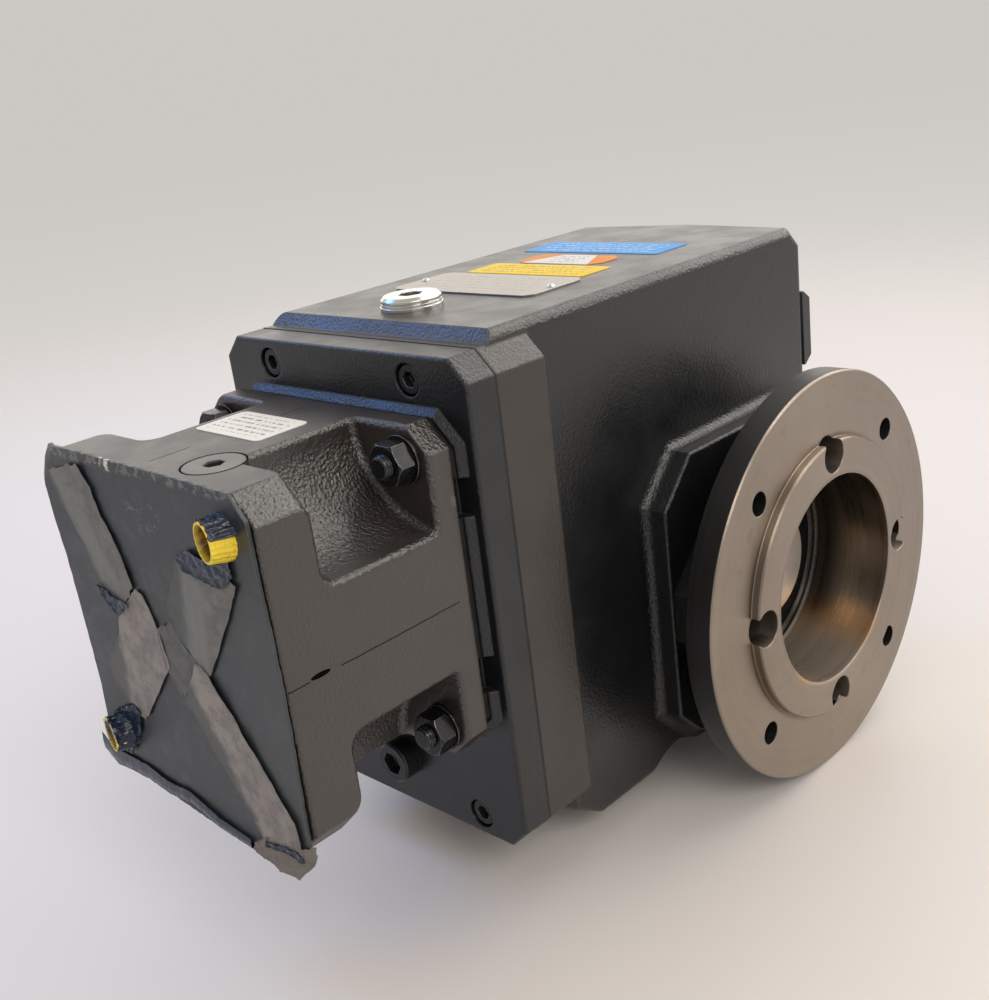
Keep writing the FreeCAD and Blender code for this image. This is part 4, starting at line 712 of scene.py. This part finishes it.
def tape(name, left, right, layer, material, seed, ragged, crumple=0.0, steps=(72, 22)):
    """A strip with torn ends, nicked sides and wrinkles, on the sheet's own bend."""
    start = (Vector(left[0]) + Vector(right[0])) / 2
    end = (Vector(left[-1]) + Vector(right[-1])) / 2
    along = Vector((end.x - start.x, 0.0, end.y - start.y)).normalized()
    out = Vector((0.0, -1.0, 0.0))
    across = out.cross(along)
    turn = Matrix((along, across, out)).transposed().to_4x4()
    origin = Vector((start.x, SHEET_FACE, start.y))
    matrix = Matrix.Translation(origin * MM) @ turn
    inverse = turn.to_3x3().transposed()
    rows, columns = steps
    front, back = [], []
    for i in range(rows):
        t = i / (rows - 1)
        a, b = Vector(walk(left, t)), Vector(walk(right, t))
        for j in range(columns):
            s = j / (columns - 1)
            place = a.lerp(b, s)
            torn = ragged * (wave(3.2, s * 20, seed, 0.0) + 0.6 * wave(1.1, s * 20, seed, 5.0))
            place += (end - start).normalized() * torn * ((1 - t) ** 8 - t ** 8)
            nick = 0.40 * wave(5.0, t * 50, seed * 3.0, round(s)) + 0.22 * wave(1.3, t * 50, seed, round(s))
            place += (b - a) / max(1.0, (b - a).length) * nick * abs(2 * s - 1) ** 3
            x, z = place
            rim = max(abs(2 * s - 1), abs(2 * t - 1)) ** 14
            wrinkle = 0.10 * (wave(2.2, x, z, seed) + 1.0)
            wrinkle += 0.14 * (wave(9.0, x * 0.4, z, seed + 7) + 1.0)
            wrinkle += crumple * (abs(wave(3.0, x, z, seed + 3)) + 0.6 * abs(wave(1.4, x, z, seed + 5)))
            lift = layer + wrinkle + 0.35 * rim * (wave(6.0, x, z, seed + 13) + 0.8)
            level = sheet_level(x, z) - max(0.05, lift)
            front.append(inverse @ (Vector((x, level - TAPE_THICKNESS, z)) - origin))
            back.append(inverse @ (Vector((x, level, z)) - origin))
    points, faces = thick_grid(rows, columns, front, back)
    add_piece(name, points, faces, material, sharp=60, matrix=matrix)


def make_tape():
    tape("tape_upper_left",
         left=((-147.7, 96.5), (-145.8, 89.2), (-141.6, 83.4), (-136.0, 75.0), (-131.3, 58.6),
               (-122.4, 51.7)),
         right=((-127.1, 101.9), (-121.8, 95.1), (-118.9, 85.9), (-111.8, 73.2), (-109.2, 63.1)),
         layer=0.30, material=GREY_TAPE, seed=1.0, ragged=0.9)
    tape("tape_lower_right",
         left=((-81.5, 44.6), (-85.5, 38.4), (-92.2, 28.4), (-87.0, 22.6), (-74.6, 5.5), (-62.3, -11.3)),
         right=((-79.0, 45.0), (-75.1, 42.2), (-62.5, 26.0), (-44.2, 2.4), (-43.0, -8.9)),
         layer=0.45, material=WARM_TAPE, seed=2.0, ragged=0.6)
    tape("tape_upper_right",
         left=((-79.6, 79.5), (-83.5, 72.1), (-91.1, 61.5), (-89.8, 52.7), (-79.1, 44.6), (-75.6, 42.0)),
         right=((-54.2, 79.0), (-49.4, 76.9), (-57.5, 64.5), (-73.4, 43.0)),
         layer=0.16, material=GREY_TAPE, seed=3.0, ragged=0.8)
    tape("tape_lower_left",
         left=((-123.7, 50.2), (-126.6, 43.0), (-142.5, 26.3), (-131.1, 15.2), (-124.0, 12.4)),
         right=((-108.7, 62.8), (-105.4, 61.8), (-99.7, 50.2), (-97.9, 38.6), (-119.5, 15.3)),
         layer=0.16, material=WARM_TAPE, seed=4.0, ragged=1.0)
    tape("tape_middle",
         left=((-101.0, 50.5), (-100.5, 42.0), (-99.5, 36.0), (-93.5, 29.0)),
         right=((-90.0, 56.5), (-88.5, 51.0), (-80.0, 45.0), (-83.0, 41.0)),
         layer=0.10, material=DIRTY_TAPE, seed=5.0, ragged=1.8)
    tape("creased_tape_crack",
         left=((-131.4, 59.6), (-127.5, 54.7), (-122.2, 51.2)),
         right=((-129.0, 60.0), (-122.1, 57.6), (-114.0, 56.4)),
         layer=0.75, material=BLACK_TAPE, seed=10.0, ragged=1.4, crumple=0.9, steps=(26, 18))
    tape("creased_tape_upper",
         left=((-79.4, 79.5), (-74.3, 76.2), (-62.1, 74.6), (-55.7, 74.8), (-50.3, 79.5)),
         right=((-78.6, 80.5), (-71.3, 83.6), (-64.3, 82.0), (-55.8, 82.2), (-50.8, 84.6)),
         layer=0.40, material=BLACK_TAPE, seed=7.0, ragged=0.6, crumple=0.8, steps=(44, 24))
    tape("creased_tape_lower",
         left=((-150.5, 6.0), (-149.0, -1.0), (-146.0, -6.0), (-138.0, -5.8)),
         right=((-139.5, 12.0), (-130.0, 16.5), (-124.5, 15.0), (-128.0, 6.5)),
         layer=0.20, material=BLACK_TAPE, seed=8.0, ragged=1.2, crumple=0.8, steps=(40, 40))
    tape("torn_tape_end",
         left=((-69.5, -16.2), (-55.4, -18.0), (-46.1, -17.0), (-37.8, -9.2), (-36.0, -5.6)),
         right=((-68.0, -13.2), (-62.3, -9.4), (-49.1, -8.0), (-42.4, -5.6), (-36.2, -2.6)),
         layer=0.10, material=TORN_TAPE, seed=9.0, ragged=0.5, crumple=0.7, steps=(60, 26))
    tape("creased_tape_slot",
         left=((-62.5, -12.0), (-52.0, -10.4), (-43.0, -10.6)),
         right=((-62.0, -10.2), (-52.0, -8.2), (-43.5, -8.2)),
         layer=0.55, material=BLACK_TAPE, seed=11.0, ragged=0.4, crumple=0.7, steps=(30, 8))


# Tape round the sheet's lower edge, as its run in (x, z) and its section in (rise, depth)

WRAP_LINE = ((-159.6, -10.0), (-151.6, -13.4), (-129.9, -12.3), (-117.2, -13.6), (-104.1, -12.4),
             (-87.4, -15.5), (-70.6, -16.1))
WRAP_SECTION = ((6.0, -0.55), (2.5, -0.95), (-0.6, -0.8), (-1.4, 0.4), (-0.8, 1.7), (1.5, 2.1))
WRAP_THINNING = 0.55


def make_wrapped_edge():
    """Black tape folded round the sheet's lower edge, thicker towards the left."""
    rows = 90
    points = []
    for i in range(rows):
        t = i / (rows - 1)
        x, z = walk(WRAP_LINE, t)
        bulk = 1.0 - WRAP_THINNING * t
        for k, (rise, depth) in enumerate(WRAP_SECTION):
            rough = 0.55 * wave(2.6, x, k * 2.0, 31.0) + 0.35 * wave(1.1, x, k * 2.0, 37.0)
            level = sheet_level(x, z) + depth - max(0.0, 0.4 * rough)
            points.append((x, level, z + (rise + rough) * bulk))
    faces = [tuple(reversed(face)) for face in grid_faces(rows, len(WRAP_SECTION))]
    add_piece("creased_tape_edge", points, faces, BLACK_TAPE, sharp=70)


# Thread plugs, ribbed cups that lean a little, with tape round them

PLUG_TURNS = 132
PLUG_RIBS = 22
RIB_HEIGHT = 0.13
PLUG_LEAN_X, PLUG_LEAN_Z, MOUTH_TILT = -0.24, 0.10, 0.22


def plug_places():
    """The two plugs' centres in (x, z) and the radius of their rim."""
    radius = (plug_high[0] - plug_low[0]) / 2 - PLUG_OFFSET
    lower = (plug_low[0] + radius, plug_low[2] + radius)
    upper = (plug_high[0] - radius, plug_high[2] - radius)
    return [lower, upper], radius


def leaned(point, place, mouth):
    """A point of a plug moved as the plug leans, more towards its mouth."""
    x, y, z = point
    rise = max(0.0, SHEET_FACE - y)
    share = rise / (SHEET_FACE - mouth)
    return x + PLUG_LEAN_X * rise, y - MOUTH_TILT * (x - place[0]) * share, z + PLUG_LEAN_Z * rise


def make_thread_plugs():
    places, base = plug_places()
    mouth = plug_low[1] - 0.6
    floor = plug_high[1] - 1.5
    outer = [(base, SHEET_FACE + 1.4), (base, SHEET_FACE - 0.2), (base - 0.15, SHEET_FACE - 1.5),
             (base - 0.30, mouth + 3.0), (base - 0.40, mouth + 1.0), (base - 0.45, mouth + 0.3),
             (base - 0.60, mouth)]
    inner = [(base - 1.15, mouth), (base - 1.30, mouth + 0.5), (base - 1.45, mouth + 3.0),
             (base - 1.70, SHEET_FACE + 2.0), (base - 3.0, SHEET_FACE + 2.4), (base - 3.0, floor),
             (0.05, floor)]
    points, faces = [], []
    for place in places:
        def ribs(angle, y):
            if y > SHEET_FACE:
                return 0.0
            return RIB_HEIGHT * math.cos(angle * PLUG_RIBS) + 0.14 * wave(1.5, 4 * angle, y, place[0])
        ring_points, ring_faces = lathe(outer, PLUG_TURNS, place, ribs)
        cup_points, cup_faces = lathe(inner, PLUG_TURNS, place)
        start = len(points)
        seam = start + len(ring_points)
        last = seam - PLUG_TURNS
        points += [leaned(point, place, mouth) for point in ring_points + cup_points]
        faces += [tuple(start + v for v in reversed(face)) for face in ring_faces]
        faces += [tuple(seam + v for v in reversed(face)) for face in cup_faces]
        for k in range(PLUG_TURNS):
            after = (k + 1) % PLUG_TURNS
            faces.append((last + after, last + k, seam + k, seam + after))
    add_piece("ribbed_thread_plugs", points, faces, MATERIALS["plug_plastic"], sharp=40,
              replaces="thread_plugs")


def plug_wrap(name, place, radius, degrees, mouth, seed, fold_in, flare_out):
    """Creased tape round a plug between two angles, folded in over its mouth."""
    rows, columns = 20, 76
    first, last = degrees
    front, back = [], []
    for i in range(rows):
        t = i / (rows - 1)
        up = min(1.0, t * 1.25)
        y = SHEET_FACE + (mouth - SHEET_FACE) * up
        over = fold_in * max(0.0, t - 0.8) / 0.2
        for j in range(columns):
            angle = math.radians(first + (last - first) * j / (columns - 1))
            fold = 0.35 * abs(math.sin(angle * 11.0 + seed))
            fold += 0.45 * wave(1.7, angle * 6.0, y * 0.7, seed)
            fold += 0.30 * wave(0.8, angle * 6.0, y, seed + 4.0)
            r = radius + 0.15 + max(0.0, fold) + flare_out * (1 - up) ** 3 - over
            y_here = y + 0.6 * wave(1.2, angle * 5.0, seed, 2.0) * t
            for radial, row in ((r, front), (r - 0.25, back)):
                point = (place[0] + radial * math.cos(angle), y_here, place[1] + radial * math.sin(angle))
                row.append(leaned(point, place, mouth))
    points, faces = thick_grid(rows, columns, front, back)
    add_piece(name, points, faces, BLACK_TAPE, sharp=60)


def make_plug_wraps():
    (lower, upper), base = plug_places()
    mouth = plug_low[1]
    plug_wrap("creased_tape_upper_plug", upper, base - 0.3, degrees=(18, 118), mouth=mouth - 0.4,
              seed=1.0, fold_in=0.5, flare_out=1.2)
    plug_wrap("creased_tape_lower_plug", lower, base - 0.5, degrees=(-52, 228), mouth=mouth - 0.5,
              seed=2.0, fold_in=2.8, flare_out=1.0)


# Threaded stud ends

STUD_RADIUS = 4.0
STUD_PITCH = 1.25
STUD_TURNS = 40
THREAD_DEPTH = 0.62
THREAD_RINGS = 60


def make_studs():
    centres = [(x, z) for x in (stud_low[0] + STUD_RADIUS, stud_high[0] - STUD_RADIUS)
               for z in (stud_low[2] + STUD_RADIUS, stud_high[2] - STUD_RADIUS)]
    tip, tail = stud_low[1], stud_high[1]
    levels = [tip, tip + 0.02] + [tip + 0.3 + k * STUD_PITCH / 7 for k in range(THREAD_RINGS)]
    levels += [levels[-1] + 1.0, tail - 0.8, tail, tail]
    points, faces = [], []
    for centre in centres:
        start = len(points)
        for n, y in enumerate(levels):
            for k in range(STUD_TURNS):
                turn = ((y - tip) / STUD_PITCH - k / STUD_TURNS) % 1.0
                threaded = 2 <= n < 2 + THREAD_RINGS
                r = STUD_RADIUS - (THREAD_DEPTH * (1 - abs(2 * turn - 1)) if threaded else 0.0)
                if y - tip < 1.0:
                    r = min(r, STUD_RADIUS - 0.85 + y - tip)
                if n in (0, len(levels) - 1):
                    r = 0.05
                elif n == len(levels) - 2:
                    r = STUD_RADIUS - 0.8
                angle = 2 * math.pi * k / STUD_TURNS
                points.append((centre[0] + r * math.cos(angle), y, centre[1] + r * math.sin(angle)))
        faces += [tuple(reversed(face)) for face in grid_faces(len(levels), STUD_TURNS, start, close=True)]
    add_piece("threaded_studs", points, faces, DARK_STEEL, sharp=35,
              replaces="adapter_studs")


# The gasket's edge, nearly level with the housing and the cover

GASKET_GROWTH = 0.42


def make_gasket():
    low, high = box_of("cover_gasket")
    middle = [(a + b) / 2 for a, b in zip(low, high)]
    growth = 1 + 2 * GASKET_GROWTH / (high[0] - low[0])
    solid = frame["nodes"]["cover_gasket"].data
    points = []
    for vertex in solid.vertices:
        x, y, z = (c / MM for c in vertex.co)
        points.append((middle[0] + (x - middle[0]) * growth, y, middle[2] + (z - middle[2]) * growth))
    faces = [tuple(polygon.vertices) for polygon in solid.polygons]
    add_piece("gasket_edge", points, faces, MATERIALS["gasket"], replaces="cover_gasket")


# Dark lines on the adapter: parting line, slot mark, two scribed lines and the gap round its plug

MARK_LIFT = 0.03
PARTING_LEVEL = 45.3
PARTING_WIDTH = 0.30
PARTING_ENDS = (-216.0, -204.4)
SLOT_PLACE = (-211.9, 45.9)
SLOT_REACH, SLOT_RISE = 3.6, 0.85
SCRIBED_X = -98.4
SCRIBED_WIDTH = 0.24
SCRIBED_LINES = ((-217.4, -203.2), (-168.6, -158.4))


def make_marks():
    g = Graph("scribed_line")
    g.set(Base_Color=(0.0008, 0.0008, 0.0009), Roughness=0.9, Specular_IOR_Level=0.05)
    side = adapter_high[0] + MARK_LIFT
    top = adapter_high[2] + MARK_LIFT
    points, faces = [], []

    def strip(places, across):
        """A narrow band along the places, as wide as twice the way across."""
        start = len(points)
        for place in places:
            for way in (-1, 1):
                points.append([c + way * a for c, a in zip(place, across)])
        for k in range(start, len(points) - 3, 2):
            faces.append((k, k + 2, k + 3, k + 1))

    steps = 40
    for first, last in ((adapter_low[1] + 0.2, PARTING_ENDS[0]), (PARTING_ENDS[1], adapter_high[1] - 5.0)):
        levels = [PARTING_LEVEL + 0.22 * wave(9.0, k * 1.7, 3.0, first) for k in range(steps + 1)]
        strip([(side, first + (last - first) * k / steps, level) for k, level in enumerate(levels)],
              (0.0, 0.0, PARTING_WIDTH / 2))
    for first, last in SCRIBED_LINES:
        strip([(SCRIBED_X, first, top), (SCRIBED_X, last, top)], (SCRIBED_WIDTH / 2, 0.0, 0.0))
    slot = range(len(points), len(points) + 28)
    for k in range(28):
        angle = 2 * math.pi * k / 28
        points.append((side, SLOT_PLACE[0] + SLOT_REACH * math.cos(angle),
                       SLOT_PLACE[1] + SLOT_RISE * math.sin(angle) + 0.12 * wave(1.0, k, 5.0, 2.0)))
    faces.append(tuple(slot))
    low, high = box_of("access_plug")
    centre = [(a + b) / 2 for a, b in zip(low, high)]
    radius = (high[0] - low[0]) / 2
    ring = len(points)
    for k in range(96):
        angle = 2 * math.pi * k / 96
        for r in (radius - 0.15, radius + 0.35):
            points.append((centre[0] + r * math.cos(angle), centre[1] + r * math.sin(angle), top))
        a, b = ring + 2 * k, ring + 2 * ((k + 1) % 96)
        faces.append((a, a + 1, b + 1, b))
    add_piece("scribed_marks", points, faces, g.material)


# Labels, as centre, half sizes and corner radius on a level face

LABEL_STEPS = ((1.0, 0.0), (1.0, 0.14), (0.985, 0.18), (0.75, 0.18), (0.45, 0.18), (0.12, 0.18))


def label(name, centre, half, level, material, seed, radius=1.6, cut=False):
    """A thin plate that swells a little, with round or cut corners, as rings of (share, height)."""
    half_x, half_y = half
    outline = []
    for sx, sy, first in ((1, 1, 0), (-1, 1, 90), (-1, -1, 180), (1, -1, 270)):
        for k in (0, 6) if cut else range(7):
            angle = math.radians(first + 15 * k)
            outline.append((sx * (half_x - radius) + radius * math.cos(angle),
                            sy * (half_y - radius) + radius * math.sin(angle)))
    count = len(outline)
    points = []
    for share, height in LABEL_STEPS:
        for x, y in outline:
            swell = 0.10 * (wave(9.0, x * share, y * share, seed) + 1.0) if height else 0.0
            points.append((x * share, y * share, height + swell))
    faces = grid_faces(len(LABEL_STEPS), count, close=True)
    faces.append(tuple((len(LABEL_STEPS) - 1) * count + k for k in range(count)))
    matrix = Matrix.Translation(Vector((centre[0], centre[1], level)) * MM)
    add_piece(name, points, faces, material, sharp=50, matrix=matrix)


def make_labels():
    yellow = sticker("yellow_sticker", (0.92, 0.62, 0.030), (0.40, 0.24, 0.02), 3.4, (25.0, 6.4))
    white = sticker("banded_sticker", (0.80, 0.76, 0.70), (0.16, 0.15, 0.14), 3.6, (8.0, 5.6),
                    band=12.5, band_color=(0.80, 0.26, 0.03))
    blue = sticker("blue_sticker", (0.085, 0.36, 0.74), (0.60, 0.72, 0.80), 4.3, (29.0, 7.0))
    pale = sticker("white_sticker", (0.86, 0.82, 0.72), (0.12, 0.11, 0.10), 3.1, (14.0, 7.6))
    label("label_yellow", (-97.2, -41.5), (29.8, 9.0), BOX_TOP, yellow, seed=1.0)
    label("label_white", (-98.5, -21.5), (21.5, 8.4), BOX_TOP, white, seed=2.0, radius=4.0, cut=True)
    label("label_blue", (-100.2, 2.8), (34.8, 10.7), BOX_TOP, blue, seed=3.0)
    label("label_adapter", (-98.2, -180.5), (17.2, 10.2), adapter_high[2], pale, seed=4.0, radius=2.2)


make_sheet()
make_tape()
make_wrapped_edge()
make_thread_plugs()
make_plug_wraps()
make_studs()
make_gasket()
make_marks()
make_labels()


# Floor that fades into the backdrop, world and lamps

FLOOR_LEVEL = -80.0
FLOOR_TONE = (0.80, 0.745, 0.705)
FADE_START, FADE_END = 320.0, 1500.0
HORIZON = (-0.36, -0.02)
BACKDROP_HIGH = (0.600, 0.578, 0.548)
BACKDROP_LOW = (0.790, 0.745, 0.715)
AMBIENT = (0.68, 0.66, 0.65)


def make_floor():
    """A plane 12 metres wide that fades to clear away from the part."""
    bpy.ops.mesh.primitive_plane_add(size=12.0, location=(-0.08, -0.06, FLOOR_LEVEL * MM))
    floor = bpy.context.object
    floor.name = "floor"
    g = Graph("pale_floor")
    away = g.vector("LENGTH", g.place)
    g.set(Base_Color=FLOOR_TONE, Roughness=0.5, Alpha=g.ramp(away, FADE_START, FADE_END, 1.0, 0.0))
    floor.data.materials.append(g.material)


def make_world():
    """Soft light from all round, and a pale backdrop for the camera and for gloss."""
    world = bpy.data.worlds.new("studio")
    bpy.context.scene.world = world
    world.use_nodes = True
    nodes = world.node_tree.nodes
    link = world.node_tree.links.new
    light = nodes["Background"]
    light.inputs[0].default_value = (*AMBIENT, 1)
    split = nodes.new("ShaderNodeSeparateXYZ")
    link(nodes.new("ShaderNodeTexCoord").outputs["Generated"], split.inputs[0])
    height = nodes.new("ShaderNodeMapRange")
    height.interpolation_type = "SMOOTHSTEP"
    for key, level in zip(("From Min", "From Max"), HORIZON):
        height.inputs[key].default_value = level
    link(split.outputs[2], height.inputs["Value"])
    sky = nodes.new("ShaderNodeMix")
    sky.data_type = "RGBA"
    sky.inputs[6].default_value = (*BACKDROP_LOW, 1)
    sky.inputs[7].default_value = (*BACKDROP_HIGH, 1)
    link(height.outputs[0], sky.inputs[0])
    seen = nodes.new("ShaderNodeBackground")
    link(sky.outputs[2], seen.inputs[0])
    path = nodes.new("ShaderNodeLightPath")
    shown = path.outputs["Is Camera Ray"]
    for ray in ("Is Glossy Ray", "Is Transmission Ray"):
        either = nodes.new("ShaderNodeMath")
        either.operation = "MAXIMUM"
        link(shown, either.inputs[0])
        link(path.outputs[ray], either.inputs[1])
        shown = either.outputs[0]
    mix = nodes.new("ShaderNodeMixShader")
    for socket, source in zip(mix.inputs, (shown, light.outputs[0], seen.outputs[0])):
        link(source, socket)
    link(mix.outputs[0], nodes["World Output"].inputs["Surface"])


def area_lamp(name, place, target, size, power, color, gloss_only=False):
    """An area lamp that the camera doesn't see, places and sizes in metres and power in watts."""
    data = bpy.data.lights.new(name, "AREA")
    data.energy = power
    data.color = color
    data.shape = "RECTANGLE"
    data.size, data.size_y = size
    lamp = bpy.data.objects.new(name, data)
    lamp.location = Vector(place)
    lamp.visible_camera = False
    lamp.visible_diffuse = not gloss_only
    lamp.rotation_euler = (Vector(target) - Vector(place)).to_track_quat("-Z", "Y").to_euler()
    bpy.context.scene.collection.objects.link(lamp)


make_floor()
make_world()
AIM = (-0.08, -0.06, 0.02)
KEY_PLACE = (0.46, 0.98, 1.13)
area_lamp("key", KEY_PLACE, AIM, (1.0, 1.0), 3.5, (1.0, 0.94, 0.86))
area_lamp("card", KEY_PLACE, AIM, (1.7, 1.5), 42.0, (1.0, 0.96, 0.91), gloss_only=True)
area_lamp("overhead", (-1.10, 0.05, 1.20), AIM, (0.7, 0.7), 1.6, (1.0, 0.96, 0.92), gloss_only=True)
area_lamp("fill", (1.25, -0.60, 1.05), AIM, (0.9, 0.7), 11.0, (1.0, 0.955, 0.90))
area_lamp("window", (-1.20, -0.42, 1.02), AIM, (0.34, 0.5), 4.4, (0.02, 0.29, 1.0))
area_lamp("back", (-1.30, 1.10, 0.62), AIM, (2.2, 0.9), 6.3, (1.0, 0.94, 0.87))

bpy.context.scene.view_settings.view_transform = "Standard"
